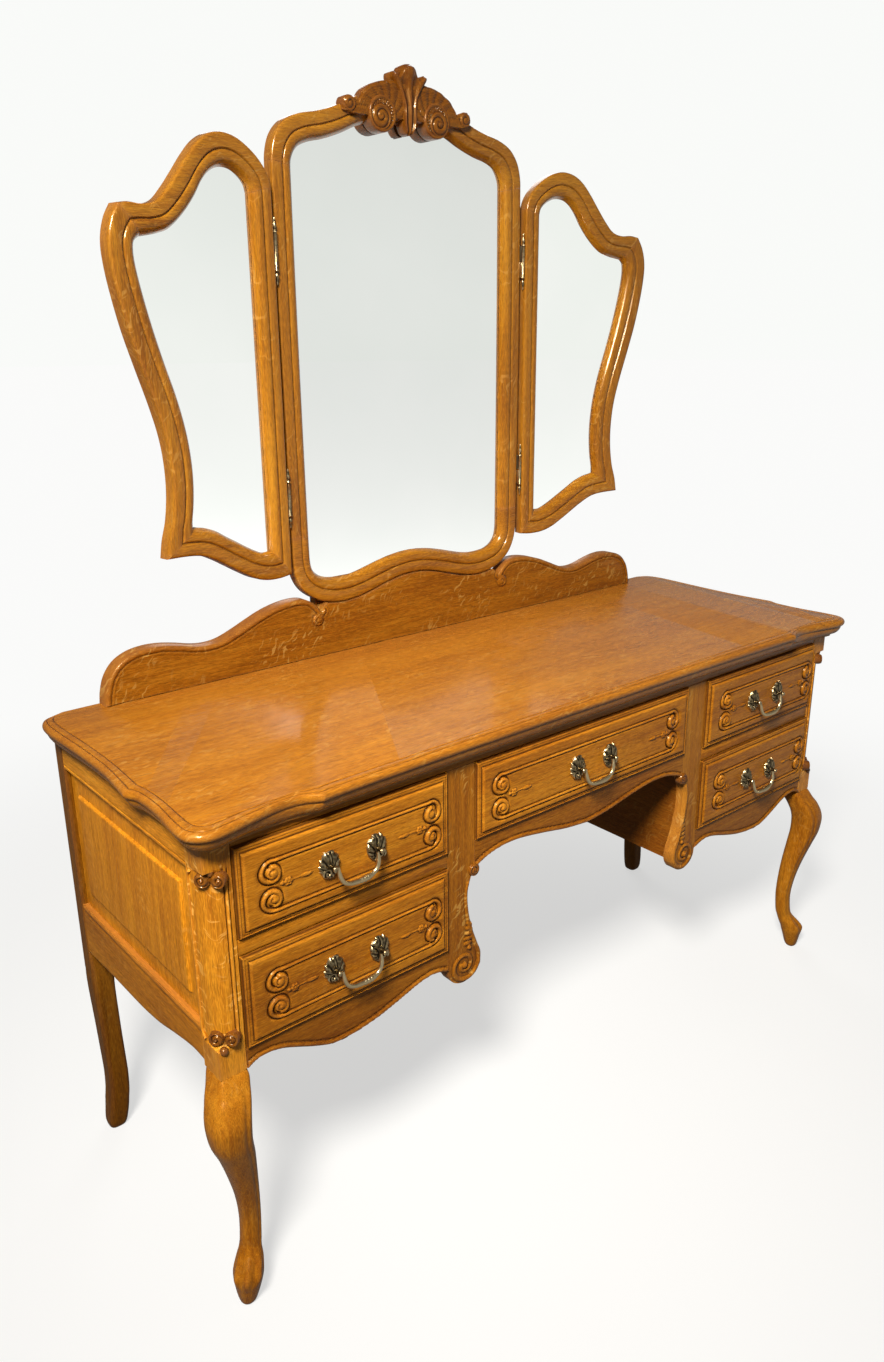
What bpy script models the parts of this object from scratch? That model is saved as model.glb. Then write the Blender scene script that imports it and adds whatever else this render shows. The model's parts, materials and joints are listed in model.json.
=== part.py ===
"""Dressing table with five drawers, a kneehole and a triple mirror with two hinged wings.
Metres, +Z up, the front faces -Y. The origin is at the middle of the footprint, on the floor."""

import math

import bmesh
import bpy
from mathutils import Matrix, Vector

for old in list(bpy.data.objects):
    bpy.data.objects.remove(old, do_unlink=True)

# ---- driving dimensions, with y measured back from the drawer faces ----
SHIFT_Y = -0.2388        # brings the middle of the depth to y = 0
TOP_Z = 0.760            # height of the table top
TOP_UNDER = 0.7232       # underside of the top and its cove
FACE_Y = 0.008           # front face of the carcass; the drawers stand proud of it
BOARD = 0.020            # thickness of the front frame
BACK_Y = 0.4872          # back of the carcass, the top and the mirror
POST_IN, POST_OUT = 0.6665, 0.7010
KNEE_IN, KNEE_OUT = 0.2545, 0.3075
DRAWER_Z = {"upper": (0.5785, 0.7100), "lower": (0.4120, 0.5525), "centre": (0.5830, 0.7100)}
MID_RAIL = (0.5540, 0.5770)  # the rail between an upper and a lower drawer, and its runners
DRAWER_DEPTH = 0.440
HANDLE_HALF = 0.0390     # from the middle of a handle to each rosette
BAIL_DROP = 0.040
MIRROR_Y = 0.4650        # front face of the centre mirror frame
FRAME_T = 0.0222         # thickness of the mirror frames
PIVOT_X, PIVOT_Y = 0.2692, 0.4610
WING_FRONT = -0.0035     # front face of a wing, seen from its pivot
WING_REST = math.radians(9.2)
HINGE_Z = (1.048, 1.435)
GAP = 0.0003

WOOD = (0.42, 0.20, 0.055, 1)
WOOD_SIDE = (0.50, 0.26, 0.075, 1)
WOOD_INNER = (0.45, 0.30, 0.15, 1)
GLASS = (0.80, 0.83, 0.82, 1)
BRASS = (0.42, 0.36, 0.24, 1)
LOOKS = {"oak": (WOOD, 0.32, 0.0), "side": (WOOD_SIDE, 0.35, 0.0), "inner": (WOOD_INNER, 0.6, 0.0),
         "mirror": (GLASS, 0.03, 1.0), "brass": (BRASS, 0.38, 1.0)}


# ---- making meshes ----
def paint(obj, look):
    colour, rough, metal = LOOKS[look]
    mat = bpy.data.materials.new(obj.name)
    mat.use_nodes = True
    shader = mat.node_tree.nodes["Principled BSDF"]
    shader.inputs["Base Color"].default_value = colour
    shader.inputs["Roughness"].default_value = rough
    shader.inputs["Metallic"].default_value = metal
    obj.data.materials.clear()
    obj.data.materials.append(mat)


def new_object(name, bm, look, at=(0, 0, 0), smooth=False):
    bmesh.ops.recalc_face_normals(bm, faces=bm.faces)
    mesh = bpy.data.meshes.new(name)
    bm.to_mesh(mesh)
    bm.free()
    if smooth:
        mesh.shade_smooth()
        mesh.set_sharp_from_angle(angle=math.radians(35))
    obj = bpy.data.objects.new(name, mesh)
    bpy.context.scene.collection.objects.link(obj)
    obj.location = at
    paint(obj, look)
    return obj


def stack(rings, closed=False):
    """Skins a list of rings of points, capped at both ends, or joined end to end when closed."""
    bm = bmesh.new()
    rows = [[bm.verts.new(p) for p in ring] for ring in rings]
    count = len(rows[0])
    pairs = list(zip(rows, rows[1:]))
    if closed:
        pairs.append((rows[-1], rows[0]))
    for low, high in pairs:
        for i in range(count):
            j = (i + 1) % count
            bm.faces.new((low[i], low[j], high[j], high[i]))
    if not closed:
        bm.faces.new(rows[0][::-1])
        bm.faces.new(rows[-1])
    return bm


def box(x0, x1, y0, y1, z0, z1):
    return stack([[(x0, y0, z), (x1, y0, z), (x1, y1, z), (x0, y1, z)] for z in (z0, z1)])


def plate(outline, y0, y1):
    """An outline in x and z, pulled through the thickness."""
    return stack([[(x, y, z) for x, z in outline] for y in (y0, y1)])


def joined(name, parts, look, at=(0, 0, 0), smooth=False):
    """Unites overlapping bodies into one object with exact Booleans."""
    main = new_object(name, parts[0], look, at, smooth)
    extra = [new_object(name + "_add", part, look, at) for part in parts[1:]]
    for other in extra:
        mod = main.modifiers.new("unite", "BOOLEAN")
        mod.operation = "UNION"
        mod.solver = "EXACT"
        mod.object = other
    graph = bpy.context.evaluated_depsgraph_get()
    mesh = bpy.data.meshes.new_from_object(main.evaluated_get(graph))
    main.modifiers.clear()
    main.data = mesh
    for other in extra:
        bpy.data.objects.remove(other, do_unlink=True)
    paint(main, look)
    return main


def curve_through(points, steps, closed=False):
    """A Catmull-Rom curve through points; a point marked True at its end is a sharp corner."""
    plain = [Vector(p[:-1] if isinstance(p[-1], bool) else p) for p in points]
    sharp = [isinstance(p[-1], bool) and p[-1] for p in points]
    count = len(plain)
    spans = count if closed else count - 1
    out = []
    for i in range(spans):
        j = (i + 1) % count
        a, b = plain[i], plain[j]
        before = plain[i - 1] if (closed or i > 0) and not sharp[i] else a - (b - a)
        after = plain[(i + 2) % count] if (closed or i + 2 < count) and not sharp[j] else b + (b - a)
        span = (b - a).length
        ta = (b - before) * span / max((a - before).length + span, 1e-6)
        tb = (after - a) * span / max((after - b).length + span, 1e-6)
        n = steps if span < 0.06 else 1
        for k in range(n):
            t = k / n
            h = (2 * t**3 - 3 * t**2 + 1, t**3 - 2 * t**2 + t, -2 * t**3 + 3 * t**2, t**3 - t**2)
            out.append(a * h[0] + ta * h[1] + b * h[2] + tb * h[3])
    if not closed:
        out.append(plain[-1])
    return out


def mirrored(half):
    """Adds the mirror image of a half outline whose first and last points lie at x = 0."""
    out = [tuple(p) for p in half]
    for p in reversed(half[1:-1]):
        q = list(p)
        q[0] = -q[0]
        if len(q) >= 4:
            q[2] = -q[2]
        out.append(tuple(q))
    return out


def arc(cx, cz, radius, start, end, count):
    angles = [math.radians(start + (end - start) * i / count) for i in range(count + 1)]
    return [(cx + radius * math.cos(a), cz + radius * math.sin(a)) for a in angles]


# ---- table top: a serpentine edge with two cusps at each front corner ----
TOP_HALF = [  # outer edge x, y, then the line of the cove's foot x, y
    (0, BACK_Y, 0, BACK_Y, True), (0.690, BACK_Y, 0.680, BACK_Y, True), (0.716, 0.477, 0.699, 0.473),
    (0.7245, 0.452, 0.7045, 0.448), (0.7245, 0.400, 0.7045, 0.400), (0.7218, 0.330, 0.7020, 0.330),
    (0.7222, 0.240, 0.7022, 0.240), (0.7310, 0.155, 0.7065, 0.158, True), (0.7225, 0.135, 0.7040, 0.136),
    (0.7215, 0.085, 0.7030, 0.090), (0.7285, 0.022, 0.7062, 0.028), (0.7270, -0.008, 0.7050, 0.006),
    (0.7140, -0.023, 0.6960, -0.005), (0.6950, -0.028, 0.6850, -0.006), (0.6450, -0.0185, 0.6450, 0.000),
    (0.5950, -0.0080, 0.5930, 0.0020), (0.5650, -0.0100, 0.5630, 0.0010), (0.5380, -0.0235, 0.5360, -0.0030, True),
    (0.5180, -0.0215, 0.5170, -0.0010), (0.4500, -0.0195, 0.4490, 0.000), (0.3000, -0.0165, 0.3000, 0.001),
    (0.1500, -0.0160, 0.1500, 0.001), (0, -0.016, 0, 0.001)]
TOP_EDGE = ((0.50, 0.7600), (0.16, 0.7585), (0.0, 0.7530), (0.02, 0.7470), (0.26, 0.7425), (0.34, 0.7380),
            (0.62, 0.7290), (1.0, 0.7245), (1.0, TOP_UNDER))


def make_top():
    pairs = curve_through(mirrored(TOP_HALF), 2, closed=True)
    rings = []
    for share, z in TOP_EDGE:
        rings.append([(p[0] + (p[2] - p[0]) * share, p[1] + (p[3] - p[1]) * share, z) for p in pairs])
    new_object("top_board", stack(rings), "oak", smooth=True)


# ---- legs and posts ----
FRONT_LEG = (  # height, centre x, centre y, half width, half depth, squareness
    (0.3795, 0.6838, 0.0300, 0.0172, 0.0220, 8), (0.3620, 0.6880, 0.0200, 0.0235, 0.0260, 4),
    (0.3400, 0.6955, 0.0085, 0.0275, 0.0285, 2.6), (0.3150, 0.7000, 0.0020, 0.0290, 0.0290, 2.4),
    (0.2850, 0.6985, 0.0025, 0.0275, 0.0275, 2.4), (0.2500, 0.6920, 0.0075, 0.0240, 0.0240, 2.3),
    (0.2100, 0.6840, 0.0140, 0.0200, 0.0200, 2.2), (0.1700, 0.6775, 0.0185, 0.0168, 0.0168, 2.2),
    (0.1300, 0.6745, 0.0205, 0.0150, 0.0150, 2.2), (0.0950, 0.6755, 0.0190, 0.0150, 0.0150, 2.2),
    (0.0680, 0.6810, 0.0130, 0.0172, 0.0172, 2.2), (0.0480, 0.6880, 0.0060, 0.0215, 0.0215, 2.2),
    (0.0300, 0.6930, 0.0015, 0.0225, 0.0225, 2.2), (0.0120, 0.6960, 0.0005, 0.0175, 0.0175, 2.2),
    (0.0000, 0.6965, 0.0005, 0.0125, 0.0125, 2.2))
REAR_LEG = (
    (TOP_UNDER - GAP, 0.6810, 0.4730, 0.0200, 0.0142, 12), (0.3490, 0.6810, 0.4730, 0.0200, 0.0142, 12),
    (0.3150, 0.6825, 0.4680, 0.0195, 0.0180, 6), (0.2700, 0.6850, 0.4640, 0.0180, 0.0190, 5),
    (0.1900, 0.6840, 0.4585, 0.0170, 0.0175, 4), (0.1100, 0.6820, 0.4560, 0.0170, 0.0170, 4),
    (0.0500, 0.6860, 0.4570, 0.0175, 0.0175, 4), (0.0150, 0.6900, 0.4590, 0.0165, 0.0165, 3.5),
    (0.0000, 0.6910, 0.4600, 0.0120, 0.0120, 3))


def squircle(z, cx, cy, half_w, half_d, power, side, count=16):
    ring = []
    for i in range(count):
        angle = math.tau * (i + 0.5) / count
        c, s = math.cos(angle), math.sin(angle)
        reach = (abs(c) ** power + abs(s) ** power) ** (-1 / power)
        ring.append((side * (cx + half_w * reach * c), cy + half_d * reach * s, z))
    return ring


def make_supports(tag, side):
    lo, hi = sorted((side * POST_IN, side * POST_OUT))
    post = box(lo, hi, FACE_Y, 0.052, 0.3798, TOP_UNDER - GAP)
    new_object("corner_post_" + tag, post, "oak")
    new_object("front_leg_" + tag, stack([squircle(*row, side) for row in FRONT_LEG]), "oak", smooth=True)
    new_object("rear_leg_" + tag, stack([squircle(*row, side) for row in REAR_LEG]), "oak", smooth=True)


# ---- pedestal sides: two rails and a fielded panel between post and rear leg ----
SIDE_Y0, SIDE_Y1 = 0.0523, 0.4585
SIDE_LOWER = [(SIDE_Y0, 0.3840), (0.075, 0.3860), (0.105, 0.3830), (0.150, 0.3740), (0.200, 0.3630),
              (0.260, 0.3570), (0.330, 0.3555), (0.400, 0.3530), (SIDE_Y1, 0.3500)]


def side_plate(outline, x0, x1):
    return stack([[(x, y, z) for y, z in outline] for x in (x0, x1)])


def make_side(tag, side):
    lo, hi = sorted((side * 0.680, side * 0.700))
    new_object("side_top_rail_" + tag, box(lo, hi, SIDE_Y0, SIDE_Y1, 0.6785, TOP_UNDER - GAP), "side")
    lower = [(p.x, p.y) for p in curve_through(SIDE_LOWER, 2)]
    rail = side_plate(lower + [(SIDE_Y1, 0.4400), (SIDE_Y0, 0.4400)], lo, hi)
    run = sorted((side * 0.642, side * 0.686))
    runner = box(run[0], run[1], SIDE_Y0, SIDE_Y1 - 0.004, 0.3980, 0.4105)
    joined("side_bottom_rail_" + tag, [rail, runner], "side")
    rings = []
    for x, inset in ((0.6825, 0), (0.6920, 0), (0.6920, 0.004), (0.6975, 0.030), (0.6980, 0.034)):
        y0, y1, z0, z1 = SIDE_Y0 + inset, SIDE_Y1 - inset, 0.4403 + inset, 0.6782 - inset
        rings.append([(side * x, y0, z0), (side * x, y1, z0), (side * x, y1, z1), (side * x, y0, z1)])
    run = sorted((side * 0.642, side * 0.686))
    runner = box(run[0], run[1], SIDE_Y0, SIDE_Y1 - 0.004, *MID_RAIL)
    joined("side_panel_" + tag, [stack(rings), runner], "side")
    lo, hi = sorted((side * 0.2750, side * 0.2930))
    wall = box(lo, hi, FACE_Y + BOARD + GAP, 0.4770, 0.3460, TOP_UNDER - GAP)
    parts = [wall]
    for x0, x1, y_start, z0, z1 in ((0.285, 0.335, 0.030, 0.3980, 0.4105), (0.285, 0.335, 0.052, *MID_RAIL),
                                    (0.215, 0.280, 0.030, 0.5700, 0.5815)):
        run = sorted((side * x0, side * x1))
        parts.append(box(run[0], run[1], y_start, 0.4600, z0, z1))
    joined("inner_side_" + tag, parts, "inner")


# ---- front frame ----
STILE_EDGE = [(KNEE_IN, 0.5345), (0.2610, 0.5220), (0.2675, 0.5000), (0.2668, 0.4700), (0.2600, 0.4350),
              (0.2490, 0.4020), (0.2420, 0.3830), (0.2425, 0.3640), (0.2540, 0.3470), (0.2760, 0.3400),
              (0.2960, 0.3470), (0.3055, 0.3600), (KNEE_OUT, 0.3730)]
APRON_EDGE = [(0.3080, 0.3735), (0.3224, 0.3790), (0.3429, 0.3820), (0.3685, 0.3780), (0.4096, 0.3655),
              (0.4455, 0.3560), (0.4865, 0.3500), (0.5224, 0.3505), (0.5532, 0.3580), (0.5839, 0.3700),
              (0.6096, 0.3790), (0.6352, 0.3845), (0.6660, 0.3860)]
ARCH_EDGE = [(0.2540, 0.5340), (0.2397, 0.5420), (0.2142, 0.5500), (0.1836, 0.5535), (0.1530, 0.5520),
             (0.1020, 0.5440), (0.0510, 0.5345), (0.0000, 0.5290)]


def make_front():
    y0, y1 = FACE_Y, FACE_Y + BOARD
    new_object("front_top_rail", box(-0.6660, 0.6660, y0, y1, 0.7115, TOP_UNDER - GAP), "oak")
    arch = [(p.x, p.y) for p in curve_through(ARCH_EDGE, 2)]
    arch += [(-x, z) for x, z in reversed(arch[:-1])]
    new_object("apron_centre", plate(arch + [(-0.2540, 0.5815), (0.2540, 0.5815)], y0, y1), "oak")
    for tag, side in (("left", -1), ("right", 1)):
        edge = [(side * p.x, p.y) for p in curve_through(STILE_EDGE, 2)]
        outline = edge + [(side * KNEE_OUT, 0.7112), (side * KNEE_IN, 0.7112)]
        new_object("kneehole_stile_" + tag, plate(outline, y0, y1), "oak")
        edge = [(side * p.x, p.y) for p in curve_through(APRON_EDGE, 2)]
        outline = edge + [(side * 0.6660, 0.4105), (side * 0.3080, 0.4105)]
        new_object("apron_" + tag, plate(outline, y0, y1), "oak")
        lo, hi = sorted((side * 0.3080, side * 0.6660))
        new_object("drawer_rail_" + tag, box(lo, hi, y0, 0.0500, *MID_RAIL), "oak")


def make_back():
    y0, y1 = 0.4777, BACK_Y
    knee = curve_through([(0.2500, 0.3600, True), (0.2500, 0.5000, True), (0.2350, 0.5350), (0.2000, 0.5500),
                          (0.1000, 0.5550), (0.0, 0.5560)], 2)
    right = [(p.x, p.y) for p in knee]
    arch = right + [(-x, z) for x, z in reversed(right[:-1])]
    outline = arch + [(-0.6600, 0.3600), (-0.6600, 0.7228), (0.6600, 0.7228), (0.6600, 0.3600)]
    new_object("back_panel", plate(outline, y0, y1), "inner")
    h = [(0.150, 0.560), (0.210, 0.560), (0.210, 1.300), (0.150, 1.300), (0.150, 0.960), (-0.150, 0.960),
         (-0.150, 1.300), (-0.210, 1.300), (-0.210, 0.560), (-0.150, 0.560), (-0.150, 0.860), (0.150, 0.860)]
    new_object("mirror_support", plate(h, BACK_Y + 0.0004, BACK_Y + 0.0184), "inner")


# ---- drawers, with a moulded edge round a flat field ----
def make_drawer(name, x0, x1, z0, z1):
    cx, cz = (x0 + x1) / 2, (z0 + z1) / 2
    w, h = (x1 - x0) / 2, (z1 - z0) / 2
    rings = []
    for y, inset in ((0.0220, 0), (0.0060, 0), (0.0035, 0.0030), (0.0030, 0.0090), (0.0, 0.0120)):
        a, b = w - inset, h - inset
        rings.append([(-a, y, -b), (a, y, -b), (a, y, b), (-a, y, b)])
    front = stack(rings)
    a, low, high, wall = w - 0.010, -h + 0.002, h - 0.012, 0.011
    shell = box(-a, a, 0.0180, DRAWER_DEPTH, low, high)
    drawer = new_object(name, front, "oak", (cx, 0, cz))
    add = new_object("box", shell, "oak", (cx, 0, cz))
    cut = new_object("hollow", box(-a + wall, a - wall, 0.0225, DRAWER_DEPTH - wall, low + 0.009, high + 0.02),
                     "oak", (cx, 0, cz))
    for other, operation in ((add, "UNION"), (cut, "DIFFERENCE")):
        mod = drawer.modifiers.new(operation, "BOOLEAN")
        mod.operation = operation
        mod.solver = "EXACT"
        mod.object = other
    bpy.context.view_layer.update()
    graph = bpy.context.evaluated_depsgraph_get()
    mesh = bpy.data.meshes.new_from_object(drawer.evaluated_get(graph))
    drawer.modifiers.clear()
    drawer.data = mesh
    for other in (add, cut):
        bpy.data.objects.remove(other, do_unlink=True)
    paint(drawer, "oak")
    make_handle(name.replace("drawer_", ""), drawer, -0.004)


# ---- handles: two lobed rosettes with a post each, and a swinging bail ----
ROSETTE = [(0.0000, 0.0245), (0.0092, 0.0225), (0.0121, 0.0150), (0.0190, 0.0120), (0.0172, 0.0020),
           (0.0193, -0.0070), (0.0138, -0.0140), (0.0109, -0.0215), (0.0011, -0.0235), (-0.0080, -0.0190),
           (-0.0138, -0.0120), (-0.0161, -0.0020), (-0.0144, 0.0080), (-0.0092, 0.0170)]
BAIL = [(0.0327, -0.0140, 0.0000), (0.0326, -0.0150, -0.0080), (0.0310, -0.0160, -0.0165),
        (0.0260, -0.0165, -0.0245), (0.0165, -0.0170, -0.0290), (0.0, -0.0172, -0.0305)]


def make_handle(tag, drawer, z):
    for end, side in (("a", -1), ("b", 1)):
        rings = []
        for y, scale in ((-GAP, 1.0), (-0.0040, 0.94), (-0.0072, 0.60)):
            rings.append([(side * x * scale, y, zz * scale) for x, zz in ROSETTE])
        for y, radius in ((-0.0080, 0.0037), (-0.0165, 0.0037), (-0.0185, 0.0022)):
            ring = []
            for x, zz in ROSETTE:
                length = math.hypot(x, zz)
                ring.append((side * x / length * radius, y, zz / length * radius))
            rings.append(ring)
        rosette = new_object(f"rosette_{tag}_{end}", stack(rings), "brass", smooth=True)
        rosette.parent = drawer
        rosette.location = (side * HANDLE_HALF, 0, z)
    path = curve_through(BAIL, 2)
    path += [Vector((-p.x, p.y, p.z)) for p in reversed(path[:-1])]
    rings = []
    for i, p in enumerate(path):
        ahead = (path[min(i + 1, len(path) - 1)] - path[max(i - 1, 0)]).normalized()
        across = ahead.cross(Vector((0, 1, 0))).normalized()
        thick = 0.0021 + 0.0011 * max(0.0, 1 - abs(p.x) / 0.016)
        ring = []
        for k in range(6):
            angle = math.tau * k / 6
            ring.append(p + across * math.cos(angle) * thick + Vector((0, math.sin(angle) * thick, 0)))
        rings.append([v - Vector((0, -0.0140, 0)) for v in ring])
    bail = new_object("bail_" + tag, stack(rings), "brass", smooth=True)
    bail.parent = drawer
    bail.location = (0, -0.0140, z)


# ---- backboard with two curved shoulders and a cradle for the mirror ----
CRADLE = [(0.2005, 0.8560), (0.1930, 0.8540), (0.1650, 0.8510), (0.1380, 0.8525), (0.1100, 0.8580),
          (0.0800, 0.8660), (0.0500, 0.8740), (0.0220, 0.8790), (0.0, 0.8800)]
SHOULDER = [(0.6225, 0.7610), (0.6200, 0.7800), (0.6120, 0.8040), (0.5960, 0.8240), (0.5730, 0.8360),
            (0.5460, 0.8405), (0.5180, 0.8395), (0.4880, 0.8340), (0.4600, 0.8270), (0.4380, 0.8245),
            (0.4150, 0.8265), (0.3900, 0.8345), (0.3600, 0.8470), (0.3300, 0.8590), (0.3000, 0.8670),
            (0.2700, 0.8705), (0.2450, 0.8680), (0.2280, 0.8580), (0.2140, 0.8420, True)]


def make_backboard():
    half = curve_through(SHOULDER, 2) + curve_through(CRADLE, 2)
    right = [(p.x, p.y - 0.0004) for p in half]
    right[0] = (0.6225, TOP_Z + GAP)
    outline = right + [(-x, z) for x, z in reversed(right[:-1])]
    new_object("backboard", plate(outline, 0.4600, BACK_Y), "oak")


# ---- mirror frames: outer and inner outline in pairs, with a moulded section between ----
CENTRE_HALF = [
    (0, 1.6900, 0, 1.6400), (0.0600, 1.6880, 0.0550, 1.6380), (0.1080, 1.6680, 0.0920, 1.6310),
    (0.1470, 1.6515, 0.1270, 1.6165), (0.1780, 1.6425, 0.1600, 1.6055), (0.2110, 1.6355, 0.1900, 1.5985),
    (0.2390, 1.6230, 0.2090, 1.5900), (0.2580, 1.6000, 0.2200, 1.5760), (0.2658, 1.5660, 0.2245, 1.5580),
    (0.2658, 0.9480, 0.2245, 0.9480), (0.2610, 0.9120, 0.2215, 0.9210), (0.2470, 0.8850, 0.2110, 0.9070),
    (0.2220, 0.8650, 0.1930, 0.8985), (0.1930, 0.8545, 0.1720, 0.8955), (0.1650, 0.8515, 0.1500, 0.8950),
    (0.1380, 0.8530, 0.1280, 0.8980), (0.1100, 0.8585, 0.1030, 0.9040), (0.0800, 0.8665, 0.0760, 0.9110),
    (0.0500, 0.8745, 0.0480, 0.9170), (0.0220, 0.8795, 0.0210, 0.9205), (0, 0.8805, 0, 0.9215)]
WING = [  # u runs outwards from the pivot
    (0.0036, 0.9190, 0.0405, 0.9640, True), (0.0290, 0.9165, 0.0560, 0.9640), (0.0550, 0.9180, 0.0710, 0.9700),
    (0.0800, 0.9250, 0.0890, 0.9795), (0.1050, 0.9380, 0.1070, 0.9900), (0.1320, 0.9540, 0.1270, 1.0015),
    (0.1580, 0.9690, 0.1470, 1.0135), (0.1840, 0.9805, 0.1670, 1.0215), (0.2100, 0.9845, 0.1810, 1.0245),
    (0.2500, 0.9860, 0.1915, 1.0270, True), (0.2450, 1.0120, 0.1912, 1.0410), (0.2355, 1.0420, 0.1872, 1.0640),
    (0.2292, 1.0820, 0.1845, 1.0950), (0.2285, 1.1240, 0.1848, 1.1300), (0.2335, 1.1670, 0.1900, 1.1740),
    (0.2455, 1.2130, 0.2015, 1.2230), (0.2650, 1.2730, 0.2190, 1.2770), (0.2800, 1.3220, 0.2335, 1.3265),
    (0.2925, 1.3780, 0.2462, 1.3780), (0.2980, 1.4200, 0.2525, 1.4140), (0.2965, 1.4450, 0.2520, 1.4330),
    (0.2890, 1.4680, 0.2475, 1.4400), (0.2780, 1.4855, 0.2410, 1.4445, True), (0.2600, 1.4880, 0.2290, 1.4465),
    (0.2370, 1.4870, 0.2120, 1.4500), (0.2140, 1.4930, 0.1900, 1.4575), (0.1940, 1.5110, 0.1650, 1.4770),
    (0.1740, 1.5340, 0.1440, 1.5000), (0.1540, 1.5580, 0.1285, 1.5225), (0.1350, 1.5770, 0.1150, 1.5365),
    (0.1150, 1.5885, 0.1015, 1.5445), (0.0920, 1.5930, 0.0880, 1.5475), (0.0680, 1.5895, 0.0750, 1.5465),
    (0.0460, 1.5790, 0.0630, 1.5420), (0.0260, 1.5640, 0.0520, 1.5350), (0.0110, 1.5460, 0.0435, 1.5260),
    (0.0036, 1.5260, 0.0405, 1.5160, True)]
SECTION = ((0.0, 0.0030), (0.07, 0.0), (0.47, 0.0), (0.52, 0.0022), (0.58, 0.0), (0.80, 0.0015),
           (1.0, 0.0138), (0.86, 0.0150), (0.86, FRAME_T), (0.0, FRAME_T))


def frame_rings(pairs, front, sign=1):
    return [[(sign * (p[0] + (p[2] - p[0]) * share), front + depth, p[1] + (p[3] - p[1]) * share)
             for share, depth in SECTION] for p in pairs]


def glass_plate(pairs, front, share, sign=1):
    outline = [(sign * (p[0] + (p[2] - p[0]) * share), p[1] + (p[3] - p[1]) * share) for p in pairs]
    return plate(outline, front + 0.0154, front + 0.0184)


# ---- crest: a plume between two volutes, with a small curl at each side ----
CREST = [(0.1325, 1.6480), (0.1335, 1.6590), (0.1290, 1.6675), (0.1200, 1.6695), (0.1120, 1.6670),
         (0.1040, 1.6640, True), (0.0985, 1.6720), (0.0900, 1.6820), (0.0770, 1.6900), (0.0600, 1.6960),
         (0.0440, 1.6990), (0.0350, 1.6985, True), (0.0400, 1.7070), (0.0365, 1.7140), (0.0270, 1.7145),
         (0.0180, 1.7175, True), (0.0100, 1.7250), (0, 1.7270)]
PLUME = [(0, 1.7270), (0.0120, 1.7220), (0.0160, 1.7000), (0.0150, 1.6600), (0.0160, 1.6380), (0.0110, 1.6260),
         (0, 1.6220)]


def make_mirrors():
    pairs = curve_through(mirrored(CENTRE_HALF), 2, closed=True)
    front = MIRROR_Y
    ring = stack(frame_rings(pairs, front), closed=True)
    top = [(p.x, p.y) for p in curve_through(CREST, 2)]
    outline = top + [(-x, z) for x, z in reversed(top[:-1])]
    outline += [(-0.1150, 1.6440), (-0.0850, 1.6440), (0.0850, 1.6440), (0.1150, 1.6440)]
    crest = plate(outline, front - 0.0070, front + 0.0120)
    volutes = [plate(arc(side * 0.0570, 1.6490, 0.0270, 0, 345, 23), front - 0.0115, front + 0.0130)
               for side in (-1, 1)]
    half = curve_through(PLUME, 2)
    leaf = [(p.x, p.y) for p in half] + [(-p.x, p.y) for p in reversed(half[1:-1])]
    plume = plate(leaf, front - 0.0150, front + 0.0120)
    joined("centre_frame", [ring, crest, plume] + volutes, "oak", smooth=False)
    new_object("centre_glass", glass_plate(pairs, front, 0.885), "mirror")
    pairs = curve_through(WING, 2, closed=True)
    for tag, side in (("left", -1), ("right", 1)):
        turn = -side * WING_REST
        at = (side * PIVOT_X, PIVOT_Y, 0)
        bm = stack(frame_rings(pairs, WING_FRONT, side), closed=True)
        frame = new_object("wing_frame_" + tag, bm, "oak", at)
        frame.rotation_euler.z = turn
        glass = new_object("wing_glass_" + tag, glass_plate(pairs, WING_FRONT, 0.885, side), "mirror", at)
        glass.rotation_euler.z = turn
        for level, z in zip(("lower", "upper"), HINGE_Z):
            make_hinge(tag + "_" + level, side, z, turn)


# ---- hinges: a fixed lower leaf and a moving upper leaf on one barrel ----
BARREL = ((0.0004, 0.0029), (0.0290, 0.0029), (0.0300, 0.0017), (0.0330, 0.0017), (0.0370, 0.0026),
          (0.0420, 0.0018), (0.0470, 0.0010), (0.0500, 0.0003))


def make_hinge(tag, side, z, turn):
    for kind, up, angle in (("fixed", -1, 0.0), ("moving", 1, turn)):
        rings = []
        for along, radius in BARREL:
            rings.append([(radius * math.cos(math.tau * k / 12), radius * math.sin(math.tau * k / 12), up * along)
                          for k in range(12)])
        if kind == "fixed":
            x0, x1 = sorted((side * -0.0031, side * -0.0018))
        else:
            x0, x1 = sorted((side * 0.0020, side * 0.0033))
        z0, z1 = sorted((up * 0.0010, up * 0.0280))
        leaf = box(x0, x1, 0.0004, 0.0175, z0, z1)
        hinge = joined(f"hinge_{kind}_{tag}", [stack(rings), leaf], "brass", (side * PIVOT_X, PIVOT_Y, z))
        hinge.rotation_euler.z = angle


make_top()
for tag, side in (("left", -1), ("right", 1)):
    make_supports(tag, side)
    make_side(tag, side)
make_front()
make_back()
for tag, side in (("left", -1), ("right", 1)):
    for level in ("upper", "lower"):
        ends = sorted((side * 0.3090, side * 0.6650))
        make_drawer(f"drawer_{tag}_{level}", ends[0], ends[1], *DRAWER_Z[level])
make_drawer("drawer_centre", -0.2530, 0.2530, *DRAWER_Z["centre"])
make_backboard()
make_mirrors()
for obj in bpy.data.objects:
    if obj.parent is None:
        obj.location.y += SHIFT_Y
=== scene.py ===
"""Looks for the dressing table: carved oak pieces, brass handles, mirrors, studio, camera.
Metres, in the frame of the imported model; local depths below are measured back from the drawer faces."""

import json
import math

import bmesh
import bpy
import numpy as np
from mathutils import Matrix, Vector
from mathutils.geometry import delaunay_2d_cdt


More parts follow.
